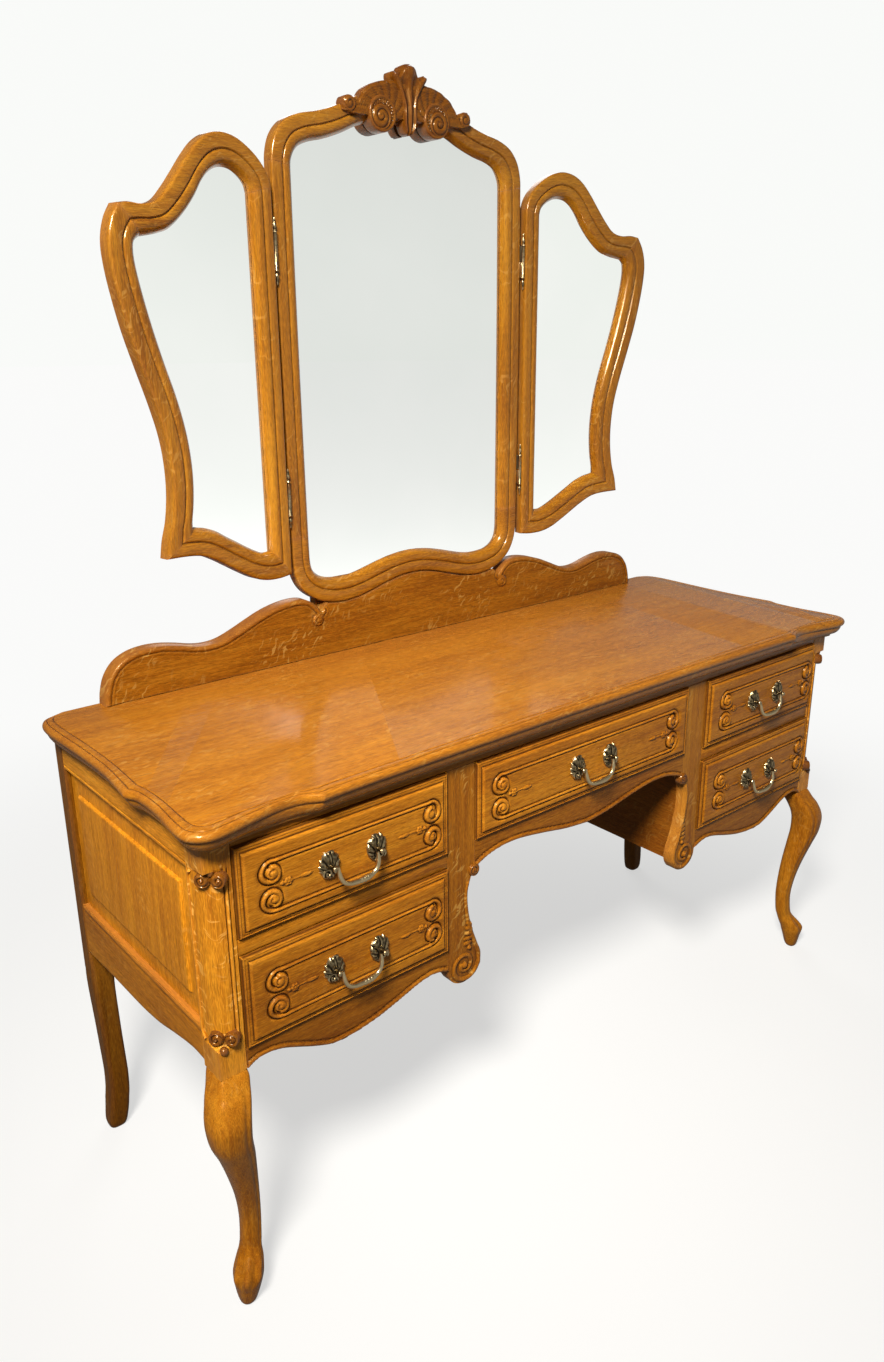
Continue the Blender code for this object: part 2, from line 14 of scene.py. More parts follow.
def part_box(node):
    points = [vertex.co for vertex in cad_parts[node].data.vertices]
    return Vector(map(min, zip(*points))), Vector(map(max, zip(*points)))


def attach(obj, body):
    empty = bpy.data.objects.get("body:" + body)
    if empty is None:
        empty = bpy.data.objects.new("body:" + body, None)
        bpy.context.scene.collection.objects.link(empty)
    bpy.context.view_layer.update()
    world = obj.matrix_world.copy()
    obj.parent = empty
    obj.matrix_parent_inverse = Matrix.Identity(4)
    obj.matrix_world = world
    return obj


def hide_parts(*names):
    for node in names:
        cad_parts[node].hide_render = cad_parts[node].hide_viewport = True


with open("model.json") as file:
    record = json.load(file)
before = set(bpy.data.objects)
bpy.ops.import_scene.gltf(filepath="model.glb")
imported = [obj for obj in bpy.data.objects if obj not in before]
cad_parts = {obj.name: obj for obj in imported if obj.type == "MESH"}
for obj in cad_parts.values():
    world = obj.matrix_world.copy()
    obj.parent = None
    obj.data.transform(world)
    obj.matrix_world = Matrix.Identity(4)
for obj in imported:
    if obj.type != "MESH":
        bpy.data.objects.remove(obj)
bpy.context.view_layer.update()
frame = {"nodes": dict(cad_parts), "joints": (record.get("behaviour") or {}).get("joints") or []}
NODES = frame["nodes"]
SHIFT_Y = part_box("drawer_centre")[0].y   # the drawer faces lie at local depth 0
HINGES = {joint["name"]: joint for joint in frame["joints"]}
FINE = 1.0


# ---------------------------------------------------------------- curves
def curve_through(points, step=0.004, closed=False):
    """A centripetal-like Hermite curve through points; True at a point's end makes a sharp corner."""
    plain = [np.array(p[:-1] if isinstance(p[-1], bool) else p, float) for p in points]
    sharp = [isinstance(p[-1], bool) and p[-1] for p in points]
    count = len(plain)
    out = []
    for i in range(count if closed else count - 1):
        j = (i + 1) % count
        a, b = plain[i], plain[j]
        before = plain[i - 1] if (closed or i > 0) and not sharp[i] else a - (b - a)
        after = plain[(i + 2) % count] if (closed or i + 2 < count) and not sharp[j] else b + (b - a)
        span = np.linalg.norm(b - a)
        ta = (b - before) * span / max(np.linalg.norm(a - before) + span, 1e-9)
        tb = (after - a) * span / max(np.linalg.norm(after - b) + span, 1e-9)
        t = np.arange(max(2, round(span / step)))[:, None] / max(2, round(span / step))
        out.append(a * (2 * t**3 - 3 * t**2 + 1) + ta * (t**3 - 2 * t**2 + t)
                   + b * (3 * t**2 - 2 * t**3) + tb * (t**3 - t**2))
    if not closed:
        out.append(plain[-1][None])
    return np.concatenate(out)


def mirrored(half):
    """A closed outline from its half, whose first and last points lie at x = 0; every even column is an x."""
    back = half[-2:0:-1].copy()
    back[:, ::2] *= -1
    return np.concatenate([half, back])


def both_halves(half):
    """An open line from its right half, which ends at x = 0."""
    left = half[-2::-1].copy()
    left[:, 0] *= -1
    return np.concatenate([half, left])


def folded(points):
    """The places with the left half folded onto the right."""
    return np.stack([abs(points[:, 0]), points[:, 1]], 1)


def between(pairs, share):
    """The outline that lies part of the way from the outer to the inner one of each pair."""
    return pairs[:, :2] * (1 - share) + pairs[:, 2:] * share


def ordered(side, a, b):
    return sorted((side * a, side * b))


def near(points, line, closed=False):
    """Distance to a polyline, and how far along it the nearest place is."""
    a, b = line[:-1], line[1:]
    if closed:
        a, b = line, np.roll(line, -1, 0)
    ab = b - a
    size = np.maximum((ab**2).sum(1), 1e-14)
    along = np.concatenate([[0], np.cumsum(np.sqrt(size))])[:-1]
    best = np.full(len(points), 1e9)
    where = np.zeros(len(points))
    for s in range(0, len(points), 4000):
        p = points[s:s + 4000, None]
        t = np.clip(((p - a) * ab).sum(2) / size, 0, 1)
        d = np.linalg.norm(p - (a + ab * t[..., None]), axis=2)
        k = d.argmin(1)
        row = np.arange(len(k))
        best[s:s + 4000] = d[row, k]
        where[s:s + 4000] = along[k] + t[row, k] * np.sqrt(size[k])
    return best, where


def smooth(a, b, x):
    t = np.clip((x - a) / (b - a), 0, 1)
    return t * t * (3 - 2 * t)


def bead(distance, half_width, height):
    """A round moulding over its own centre line."""
    return height * np.sqrt(np.clip(1 - (distance / half_width) ** 2, 0, 1))


def bell(x, centre, width):
    """A soft bump of height 1."""
    return np.exp(-((x - centre) / width) ** 2)


def spiral(centre, radius, start, turns, direction=1, inner=0.16, count=70):
    """A volute's line from its outside to its eye; angles in degrees."""
    t = np.linspace(0, 1, count)
    angle = math.radians(start) + direction * math.tau * turns * t
    r = radius * (1 - (1 - inner) * t**0.85)
    return np.stack([centre[0] + r * np.cos(angle), centre[1] + r * np.sin(angle)], 1)


# ---------------------------------------------------------------- materials
def node(tree, kind, inputs=None, **settings):
    made = tree.nodes.new(kind)
    for key, value in settings.items():
        setattr(made, key, value)
    for key, value in (inputs or {}).items():
        if isinstance(value, bpy.types.NodeSocket):
            tree.links.new(value, made.inputs[key])
        else:
            made.inputs[key].default_value = value
    return made


def maths(tree, operation, a, b=0.0, c=0.0):
    return node(tree, "ShaderNodeMath", {0: a, 1: b, 2: c}, operation=operation).outputs[0]


def times(tree, a, b):
    return maths(tree, "MULTIPLY", a, b)


def vector_maths(tree, operation, a, b=(0, 0, 0), c=(0, 0, 0), output="Vector"):
    return node(tree, "ShaderNodeVectorMath", {0: a, 1: b, 2: c}, operation=operation).outputs[output]


def blend_colour(tree, share, a, b):
    return node(tree, "ShaderNodeMix", {0: share, 6: a, 7: b}, data_type="RGBA").outputs[2]


def blend_value(tree, share, a, b):
    return node(tree, "ShaderNodeMix", {0: share, 2: a, 3: b}, data_type="FLOAT").outputs[0]


def object_place(tree):
    return node(tree, "ShaderNodeTexCoord").outputs["Object"]


def stretch(tree, vector, x, y, z):
    return vector_maths(tree, "MULTIPLY", vector, (x, y, z))


def noise(tree, vector, scale=1.0, detail=2.0, rough=0.5, twist=0.0):
    made = node(tree, "ShaderNodeTexNoise",
                {"Vector": vector, "Scale": scale, "Detail": detail, "Roughness": rough, "Distortion": twist})
    return made.outputs["Fac"]


def ramp(tree, value, stops):
    made = node(tree, "ShaderNodeValToRGB", {0: value})
    band = made.color_ramp
    band.elements[0].position, band.elements[0].color = stops[0][0], (*stops[0][1], 1)
    band.elements[1].position, band.elements[1].color = stops[-1][0], (*stops[-1][1], 1)
    for place, colour in stops[1:-1]:
        band.elements.new(place).color = (*colour, 1)
    return made.outputs[0]


def grey_ramp(tree, value, low, high, at_low=0.0, at_high=1.0, kind="LINEAR"):
    made = node(tree, "ShaderNodeMapRange", {0: value, 1: low, 2: high, 3: at_low, 4: at_high},
                interpolation_type=kind)
    return made.outputs[0]


FLECK_WAVE = 0.022                # how far the oak's flecks wander, in metres


def new_material(name):
    mat = bpy.data.materials.new(name)
    mat.use_nodes = True
    return mat, mat.node_tree, mat.node_tree.nodes["Principled BSDF"]


def measure(tree, place, direction, scale=1.0):
    """One coordinate: the place measured along a direction, times a scale."""
    return times(tree, vector_maths(tree, "DOT_PRODUCT", place, direction, output="Value"), scale)


def add_bump(tree, shader, strength, distance, height):
    bump = node(tree, "ShaderNodeBump", {"Strength": strength, "Distance": distance, "Height": height})
    tree.links.new(bump.outputs[0], shader.inputs["Normal"])


def ray_flecks(tree, place, slant):
    """The pale wavy flecks of quarter-sawn oak, slanting across the grain and gathered in patches."""
    c, s = math.cos(math.radians(slant)), math.sin(math.radians(slant))
    drift = node(tree, "ShaderNodeTexNoise", {"Vector": place, "Scale": 42.0, "Detail": 1.0}).outputs["Color"]
    drift = vector_maths(tree, "SUBTRACT", drift, (0.5, 0.5, 0.5))
    wavy = vector_maths(tree, "MULTIPLY_ADD", drift, (FLECK_WAVE,) * 3, place)
    bent = node(tree, "ShaderNodeCombineXYZ", {0: measure(tree, wavy, (c, s, s), 48),
                                               1: measure(tree, wavy, (-s, c, c), 210),
                                               2: measure(tree, place, (0, 9, -9))}).outputs[0]
    ray = grey_ramp(tree, noise(tree, bent, 1, 1, 0.4, 0.35), 0.60, 0.66)
    patch = grey_ramp(tree, noise(tree, stretch(tree, place, 9, 16, 16), 1, 1), 0.42, 0.58)
    return times(tree, ray, patch)


def oak(name, tone=1.0, red=0.0, rough=0.30, coat=0.25, flecks=0.5, slant=55, turn=None, figure=1.0,
        shine=0.45, hollow_shade=0.90):
    """Quarter-sawn oak. The grain runs along X of the grain attribute, or of the object turned by turn."""
    mat, tree, shader = new_material(name)
    if turn is None:
        place = node(tree, "ShaderNodeAttribute", attribute_name="grain").outputs["Vector"]
    else:
        place = node(tree, "ShaderNodeMapping", {0: object_place(tree), 2: turn}).outputs[0]
    slow = noise(tree, stretch(tree, place, 2.2, 13, 13), 1, 3, 0.55, 0.3)
    rings = noise(tree, stretch(tree, place, 5, 130, 130), 1, 3, 0.65, 0.5)
    lines = noise(tree, stretch(tree, place, 26, 620, 620), 1, 2, 0.6, 0.2)
    fine = noise(tree, stretch(tree, place, 95, 1050, 1050), 1, 1, 0.5)
    grain = maths(tree, "ADD", times(tree, slow, 0.5), times(tree, rings, 0.5))
    light = [c * tone for c in (0.66, 0.255 - 0.06 * red, 0.016)]
    mid = [c * tone for c in (0.50, 0.166 - 0.045 * red, 0.008)]
    dark = [c * tone for c in (0.30, 0.080 - 0.022 * red, 0.004)]
    spread = 0.15 / figure
    colour = ramp(tree, grain, [(0.50 - spread, dark), (0.50, mid), (0.50 + spread, light)])
    pores = grey_ramp(tree, lines, 0.52, 0.70)
    colour = blend_colour(tree, times(tree, pores, 0.62), colour, (*[c * 0.42 for c in mid], 1))
    dots = grey_ramp(tree, fine, 0.54, 0.68)
    colour = blend_colour(tree, times(tree, dots, 0.50), colour, (*[c * 0.40 for c in mid], 1))
    sheen = grey_ramp(tree, fine, 0.46, 0.34)
    colour = blend_colour(tree, times(tree, sheen, 0.40), colour, (*[c * 1.25 for c in light], 1))
    fleck = times(tree, ray_flecks(tree, place, slant), flecks)
    colour = blend_colour(tree, fleck, colour, (0.92 * tone, 0.50 * tone, 0.11 * tone, 1))
    # painted shade in the hollows of the carving, and a painted highlight on its ridges, both from the hollow
    # attribute
    hollow = node(tree, "ShaderNodeAttribute", attribute_name="hollow").outputs["Fac"]
    sunk = times(tree, grey_ramp(tree, hollow, 0.012, 0.13), hollow_shade)
    colour = blend_colour(tree, sunk, colour, (0.070 * tone, 0.020 * tone, 0.004, 1))
    ridge = times(tree, grey_ramp(tree, hollow, -0.05, -0.30), 0.35)
    colour = blend_colour(tree, ridge, colour, (0.62 * tone, 0.25 * tone, 0.05, 1))
    tree.links.new(colour, shader.inputs["Base Color"])
    # varnish
    uneven = maths(tree, "MULTIPLY_ADD", slow, 0.14, rough - 0.07)
    tree.links.new(maths(tree, "ADD", uneven, times(tree, pores, 0.14)), shader.inputs["Roughness"])
    shader.inputs["Coat Weight"].default_value = coat
    shader.inputs["Coat Roughness"].default_value = 0.13
    shader.inputs["Specular IOR Level"].default_value = shine
    shader.inputs["Specular Tint"].default_value = (1.0, 0.60, 0.20, 1)
    relief = maths(tree, "SUBTRACT", times(tree, rings, 0.2), times(tree, pores, 0.9))
    add_bump(tree, shader, 0.30, 0.0005, relief)
    return mat


def brass(name, low, high):
    """Old cast brass: dark in the hollows, worn bright where Pointiness rises from low to high."""
    mat, tree, shader = new_material(name)
    place = object_place(tree)
    shape = node(tree, "ShaderNodeNewGeometry").outputs["Pointiness"]
    cloud = noise(tree, place, 160, 3)
    worn = grey_ramp(tree, maths(tree, "ADD", shape, times(tree, cloud, 0.10)), low, high)
    tints = [(0.0, (0.020, 0.014, 0.008)), (0.45, (0.15, 0.11, 0.055)), (1.0, (0.60, 0.47, 0.26))]
    colour = ramp(tree, worn, tints)
    tree.links.new(colour, shader.inputs["Base Color"])
    shader.inputs["Metallic"].default_value = 1.0
    tree.links.new(maths(tree, "MULTIPLY_ADD", cloud, 0.22, 0.20), shader.inputs["Roughness"])
    add_bump(tree, shader, 0.25, 0.0004, noise(tree, place, 600, 2))
    return mat


def mirror_glass(name, clear):
    """Silvered glass with a faint haze; clear scales how much it reflects."""
    mat, tree, shader = new_material(name)
    place = object_place(tree)
    haze = grey_ramp(tree, noise(tree, place, 5, 3), 0.3, 0.7)
    low, high = ([min(0.99, c * clear) for c in tint] for tint in ((0.90, 0.925, 0.895), (0.93, 0.945, 0.92)))
    tree.links.new(blend_colour(tree, haze, (*low, 1), (*high, 1)), shader.inputs["Base Color"])
    shader.inputs["Metallic"].default_value = 1.0
    shader.inputs["Roughness"].default_value = 0.0
    add_bump(tree, shader, 0.02, 0.0005, noise(tree, place, 9, 1))
    return mat


# These copies of one oak take their tones from how bright each piece looks in its light, so besides the wood's
# own colour they carry painted light and shade: brighter on the posts and sides, darker on the aprons and rear
# legs.
OAK = oak("oak", tone=0.74, coat=0.04, flecks=0.06, shine=0.28)
OAK_APRON = oak("oak_aprons", tone=0.52, red=0.2, coat=0.04, flecks=0.06, shine=0.28)
OAK_TOP = oak("oak_top", tone=0.67, flecks=0.25, slant=12, rough=0.25, coat=0.30, figure=0.65)
OAK_POST = oak("oak_posts", tone=1.10, red=-0.3, flecks=0.55, slant=48, coat=0.12, shine=0.35)
OAK_STILE = oak("oak_stiles", tone=0.64, flecks=0.50, slant=48, coat=0.05, shine=0.30)
OAK_KNEE = oak("oak_front_legs", tone=0.74, flecks=0.12, slant=30, coat=0.10, shine=0.22, rough=0.28)
OAK_DARK = oak("oak_carving", tone=0.34, red=0.4, flecks=0.1, coat=0.35, rough=0.26)
OAK_SIDE = oak("oak_side", tone=1.16, red=-0.3, flecks=0.12, coat=0.0, shine=0.16, figure=0.7)
OAK_SIDE_RAIL = oak("oak_side_rails", tone=0.88, red=-0.1, flecks=0.12, coat=0.0, shine=0.16, figure=0.7)
OAK_BACK = oak("oak_upstand", tone=0.48, red=0.1, flecks=0.6, slant=50, coat=0.15)
OAK_LEG = oak("oak_rear_legs", tone=0.33, red=0.0, flecks=0.12, slant=40, coat=0.05, shine=0.25)
OAK_FRAME = oak("oak_frame", tone=0.58, red=-0.35, flecks=0.30, slant=20, rough=0.22, coat=0.60, hollow_shade=0.50)
INNER = oak("inner_oak", tone=0.45, red=0.5, rough=0.55, coat=0.0, flecks=0.15)
DRAWER_BOX = oak("drawer_box_oak", tone=1.05, red=-0.8, rough=0.55, coat=0.05, flecks=0.2)
BRASS = brass("antique_brass", 0.51, 0.62)
BRASS_WORN = brass("worn_brass", 0.44, 0.53)
MIRROR = mirror_glass("mirror_glass", 0.90)
WING_MIRROR = mirror_glass("wing_mirror_glass", 1.03)


# ---------------------------------------------------------------- meshes
SEEDS = np.random.default_rng(7)  # where each piece is cut from its log
PLAIN_FACES = 300                 # a mesh with fewer has no hollows worth marking
SIDES = (("left", -1), ("right", 1))


def mark_hollows(mesh, painted_shade, passes=2):
    """Writes how hollow (+) or raised (-) the surface is at each vertex: its slope towards its neighbours, plus
    any painted shade given. The oak paints shade where it is hollow and a highlight where it is raised.
    """
    count = len(mesh.vertices)
    place = np.empty(count * 3)
    mesh.vertices.foreach_get("co", place)
    place = place.reshape(-1, 3)
    normal = np.empty(count * 3)
    mesh.vertices.foreach_get("normal", normal)
    normal = normal.reshape(-1, 3)
    ends = np.empty(len(mesh.edges) * 2, int)
    mesh.edges.foreach_get("vertices", ends)
    a, b = ends.reshape(-1, 2).T
    a, b = np.concatenate([a, b]), np.concatenate([b, a])
    step = place[b] - place[a]
    size = np.maximum(np.linalg.norm(step, axis=1), 1e-6)
    slope = (step * normal[a]).sum(1) / size
    near_by = np.bincount(a, minlength=count).clip(1)
    hollow = np.bincount(a, slope, count) / near_by
    for _ in range(passes):
        hollow = 0.5 * hollow + 0.5 * np.bincount(a, hollow[b], count) / near_by
    # painted shade given per vertex is added to the hollows
    if painted_shade is not None:
        hollow += painted_shade
    layer = mesh.attributes.new("hollow", "FLOAT", "POINT")
    layer.data.foreach_set("value", hollow.astype(np.float32))


def piece(name, verts, faces, material, body, grain="x", stands_for="", sharp=35, slot="oak", at=None,
          painted_shade=None):
    """A mesh that rides on a body. grain is the wood's grain axis, and shade can be painted into the finish at
    each vertex.
    """
    verts = np.asarray(verts, float)
    mesh = bpy.data.meshes.new(name)
    mesh.from_pydata(verts.tolist(), [], faces)
    mesh.validate()
    turned = bmesh.new()
    turned.from_mesh(mesh)
    bmesh.ops.recalc_face_normals(turned, faces=turned.faces)
    turned.to_mesh(mesh)
    turned.free()
    order = {"x": (0, 2, 1), "y": (1, 0, 2), "z": (2, 0, 1)}[grain]
    rows = verts[:, order] + SEEDS.uniform(-3, 3, 3)
    layer = mesh.attributes.new("grain", "FLOAT_VECTOR", "POINT")
    layer.data.foreach_set("vector", rows.astype(np.float32).ravel())
    if len(mesh.polygons) > PLAIN_FACES:
        mark_hollows(mesh, painted_shade)
    mesh.materials.append(material)
    mesh.shade_smooth()
    mesh.set_sharp_from_angle(angle=math.radians(sharp))
    obj = bpy.data.objects.new(name, mesh)
    bpy.context.scene.collection.objects.link(obj)
    obj.matrix_world = at or Matrix.Translation((0, SHIFT_Y, 0))
    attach(obj, body)
    if stands_for:
        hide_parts(stands_for)


def skin(rings):
    """Vertices and faces of a closed surface through equal rings of points, its ends capped."""
    rings = np.asarray(rings, float)
    rows, count = rings.shape[:2]
    verts = rings.reshape(-1, 3)
    faces = []
    for r in range(rows - 1):
        low, high = r * count, (r + 1) * count
        for i in range(count):
            j = (i + 1) % count
            faces.append((low + i, low + j, high + j, high + i))
    faces.append(tuple(range(count))[::-1])
    faces.append(tuple(range((rows - 1) * count, rows * count)))
    return verts, faces


def ring_angles(count):
    return np.arange(count) * math.tau / count


def scaled(part, x, y, z):
    """A shape scaled along the axes, its faces turned round if that mirrors it."""
    verts, faces = part
    return verts * (x, y, z), faces if x * y * z > 0 else [f[::-1] for f in faces]


def moved(part, matrix):
    verts, faces = part
    m = np.array(matrix)
    return verts @ m[:3, :3].T + m[:3, 3], faces


def merge(*parts):
    """Several (verts, faces) as one."""
    verts, faces, base = [], [], 0
    for v, f in parts:
        v = np.asarray(v, float).reshape(-1, 3)
        verts.append(v)
        faces += [tuple(i + base for i in face) for face in f]
        base += len(v)
    return np.concatenate(verts), faces


def block(x0, x1, y0, y1, z0, z1, r=0.0012):
    """A board with small rounded arrises."""
    rings = []
    low, high = z0 + r * 0.3, z1 - r * 0.3
    for z, inset in ((z0, r), (low, r * 0.3), (z0 + r, 0), (z1 - r, 0), (high, r * 0.3), (z1, r)):
        ring = []
        corners = ((x1 - r, y0 + r), (x1 - r, y1 - r), (x0 + r, y1 - r), (x0 + r, y0 + r))
        for (x, y), start in zip(corners, (-90, 0, 90, 180)):
            for k in range(3):
                a = math.radians(start + 45 * k)
                ring.append((x + (r - inset) * math.cos(a), y + (r - inset) * math.sin(a), z))
        rings.append(ring)
    return skin(rings)


def carved(outline, height, y_front, y_back, spacing=0.002):
    """A board cut to an outline in x and z, with a front raised by height(points) from y_front."""
    outline = np.asarray(outline, float)
    if (outline[:, 0] * np.roll(outline[:, 1], -1) - np.roll(outline[:, 0], -1) * outline[:, 1]).sum() < 0:
        outline = outline[::-1]
    low, high = outline.min(0), outline.max(0)
    xs = np.arange(low[0] + spacing / 2, high[0], spacing)
    zs = np.arange(low[1] + spacing / 2, high[1], spacing * 0.87)
    gx, gz = np.meshgrid(xs, zs)
    gx = gx + (np.arange(len(zs)) % 2)[:, None] * spacing / 2
    grid = np.stack([gx.ravel(), gz.ravel()], 1)
    a, b = outline, np.roll(outline, -1, 0)
    inside = np.zeros(len(grid), bool)
    for p, q in zip(a, b):
        crosses = (p[1] > grid[:, 1]) != (q[1] > grid[:, 1])
        if crosses.any():
            x_at = p[0] + (grid[:, 1] - p[1]) * (q[0] - p[0]) / (q[1] - p[1] if q[1] != p[1] else 1e-9)
            inside ^= crosses & (grid[:, 0] < x_at)
    gap, _ = near(grid, outline, closed=True)
    grid = grid[inside & (gap > spacing * 0.45)]
    points = np.concatenate([outline, grid])
    n = len(outline)
    rim_edges = [(i, (i + 1) % n) for i in range(n)]
    found, _, triangles, origin, _, _ = delaunay_2d_cdt([Vector(p) for p in points], rim_edges, [], 1, 1e-7)
    flat = np.array([tuple(v) for v in found])
    faces = [tuple(f) for f in triangles]
    rim = {}
    for i, sources in enumerate(origin):
        for s in sources:
            if s < n:
                rim[s] = i
    front = np.stack([flat[:, 0], y_front - height(flat), flat[:, 1]], 1)
    base = len(front)
    back = np.stack([outline[:, 0], np.full(n, y_back), outline[:, 1]], 1)
    verts = np.concatenate([front, back])
    for i in range(n):
        j = (i + 1) % n
        faces.append((rim[i], base + i, base + j, rim[j]))
    faces.append(tuple(range(base, base + n))[::-1])
    return verts, faces


def lathe(profile, count=24):
    """A turned shape from (radius, z) pairs."""
    rings = []
    for radius, z in profile:
        a = ring_angles(count)
        rings.append(np.stack([radius * np.cos(a), radius * np.sin(a), np.full(count, z)], 1))
    return skin(rings)


def tube(path, radii, count=10):
    """A rod along a path, with its own radius at each point."""
    path = np.asarray(path, float)
    radii = np.broadcast_to(radii, len(path))
    ahead = np.gradient(path, axis=0)
    ahead /= np.linalg.norm(ahead, axis=1)[:, None]
    side = np.cross(ahead, (0, 1, 0))
    side /= np.maximum(np.linalg.norm(side, axis=1), 1e-9)[:, None]
    out = np.cross(side, ahead)
    a = ring_angles(count)[None, :, None]
    radii = radii[:, None, None]
    return skin(path[:, None] + side[:, None] * (np.cos(a) * radii) + out[:, None] * (np.sin(a) * radii))


def ball(centre, radii, rows=10, count=16):
    rings = []
    for k in range(rows + 1):
        lat = -math.pi / 2 + math.pi * min(max(k / rows, 0.04), 0.96)
        a = ring_angles(count)
        rings.append(np.stack([centre[0] + radii[0] * math.cos(lat) * np.cos(a),
                               centre[1] + radii[1] * math.cos(lat) * np.sin(a),
                               np.full(count, centre[2] + radii[2] * math.sin(lat))], 1))
    return skin(rings)


def disc_relief(points, centre, radius, turns, direction=1, start=0.0, ridge=0.0026, dome=0.0015):
    """The height of a spiral volute on a disc, and where the disc is."""
    dx, dz = points[:, 0] - centre[0], points[:, 1] - centre[1]
    r = np.hypot(dx, dz) / radius
    angle = direction * (np.arctan2(dz, dx) - math.radians(start)) / math.tau
    phase = (turns * np.clip(1 - r, 0, 1) ** 0.92 - angle) % 1
    wave = np.sin(math.pi * phase) ** 0.8
    eye = bead(r, 0.20, 1.0)
    relief = dome * np.sqrt(np.clip(1 - r**2, 0, 1)) + ridge * np.maximum(wave * smooth(1.02, 0.86, r), 0)
    relief = np.where(r < 0.2, dome + ridge * (0.35 + 0.9 * eye), relief)
    return relief, r < 1.0


# ---------------------------------------------------------------- table top
TOP_Z, TOP_UNDER, BACK_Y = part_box("top_board")[1].z, 0.7232, 0.4872
TOP_HALF = [  # the outermost edge's x and y, and those of the flat's edge inside the moulding
    (0, BACK_Y, 0, BACK_Y, True), (0.690, BACK_Y, 0.680, BACK_Y, True), (0.716, 0.477, 0.699, 0.473),
    (0.7245, 0.452, 0.7045, 0.448), (0.7245, 0.400, 0.7045, 0.400), (0.7218, 0.330, 0.7020, 0.330),
    (0.7222, 0.240, 0.7022, 0.240), (0.7310, 0.155, 0.7065, 0.158, True), (0.7225, 0.135, 0.7040, 0.136),
    (0.7215, 0.085, 0.7030, 0.090), (0.7285, 0.022, 0.7062, 0.028), (0.7270, -0.008, 0.7050, 0.006),
    (0.7140, -0.023, 0.6960, -0.005), (0.6950, -0.028, 0.6850, -0.006), (0.6450, -0.0185, 0.6450, 0.000),
    (0.5950, -0.0080, 0.5930, 0.0020), (0.5650, -0.0100, 0.5630, 0.0010),
    (0.5380, -0.0235, 0.5360, -0.0030, True), (0.5180, -0.0215, 0.5170, -0.0010),
    (0.4500, -0.0195, 0.4490, 0.000), (0.3000, -0.0165, 0.3000, 0.001), (0.1500, -0.0160, 0.1500, 0.001),
    (0, -0.016, 0, 0.001)]
TOP_EDGE = [  # share of the way in from the edge, and height below the top
    (0.98, 0.0), (0.94, 0.0004), (0.90, 0.0013), (0.86, 0.0013), (0.82, 0.0004), (0.66, 0.0001), (0.52, 0.0006),
    (0.44, 0.0011), (0.40, 0.0021), (0.36, 0.0021), (0.32, 0.0014), (0.22, 0.0019), (0.12, 0.0030),
    (0.05, 0.0047), (0.01, 0.0068), (0.00, 0.0090), (0.02, 0.0112), (0.07, 0.0130), (0.14, 0.0142),
    (0.24, 0.0150), (0.26, 0.0162), (0.25, 0.0178), (0.28, 0.0205), (0.34, 0.0236), (0.44, 0.0268),
    (0.58, 0.0296), (0.76, 0.0316), (0.96, 0.0326), (1.0, 0.0335), (1.0, TOP_Z - TOP_UNDER)]


def make_top():
    outline = mirrored(curve_through(TOP_HALF))
    rings = []
    for share, down in TOP_EDGE:
        rings.append(np.column_stack([between(outline, share), np.full(len(outline), TOP_Z - down)]))
    piece("top", *skin(rings), OAK_TOP, "carcass", "x", "top_board", sharp=28)


# ---------------------------------------------------------------- corner posts with a carved column
POST_IN, POST_OUT, POST_Y0, POST_Y1 = 0.6605, 0.7010, 0.0080, 0.0520
COLUMN_AT = (0.6740, 0.0475)
QUIRKS = (0.6728, 0.6672)         # grooves either side of the bead beside the column
POST_LEVELS = [  # heights of the sections, and how far each is rounded into the column
    (0.3798, 0), (0.4150, 0), (0.4180, 0), (0.4210, 0), (0.4240, 0), (0.4265, 0.6), (0.4290, 1), (0.4320, 1),
    (0.4350, 1), (0.4380, 1), (0.6730, 1), (0.6760, 1), (0.6790, 1), (0.6820, 1), (0.6845, 0.6), (0.6870, 0),
    (0.6900, 0), (0.6930, 0), (0.6960, 0), (0.7225, 0)]
POST_BEADS = {
    "front": [(0.6780, 0.0070, 0.6800), (0.6715, 0.0072, 0.6770), (0.6700, 0.0074, 0.6690),
              (0.6700, 0.0074, 0.4460), (0.6712, 0.0072, 0.4380), (0.6765, 0.0078, 0.4330)],
    "side": [(0.7018, 0.0420, 0.6800), (0.7014, 0.0470, 0.6740), (0.7012, 0.0482, 0.6640),
             (0.7012, 0.0482, 0.4480), (0.7014, 0.0470, 0.4380), (0.7018, 0.0400, 0.4300)]}



def post_section(round_share, side):
    points = [(POST_IN, POST_Y1), (POST_IN, POST_Y0 + 0.001), (POST_IN + 0.001, POST_Y0)]
    for x in np.linspace(POST_IN + 0.003, COLUMN_AT[0] - 0.0004, 15):
        quirk = 0.0026 * bell(x, QUIRKS[0], 0.0009) + 0.0016 * bell(x, QUIRKS[1], 0.0009)
        points.append((x, POST_Y0 + quirk * round_share))
    ax, ay = POST_OUT - COLUMN_AT[0], COLUMN_AT[1] - POST_Y0
    for k in range(1, 24):
        a = math.radians(-90 + 90 * k / 24)
        c, s = math.cos(a), math.sin(a)
        oval = (COLUMN_AT[0] + (ax - 0.001) * c, COLUMN_AT[1] + (ay - 0.001) * s)
        reach = min(ax / max(c, 1e-6), ay / max(-s, 1e-6))
        square = (COLUMN_AT[0] + reach * c, COLUMN_AT[1] + reach * s)
        points.append(tuple(o * round_share + q * (1 - round_share) for o, q in zip(oval, square)))
    for u in np.linspace(0, 1, 5):
        y = COLUMN_AT[1] - 0.0005 + u * 0.004
        points.append((POST_OUT - 0.0022 * math.sin(math.pi * u) * round_share, y))
    points.append((POST_OUT, POST_Y1))
    return [(side * x, y) for x, y in points]


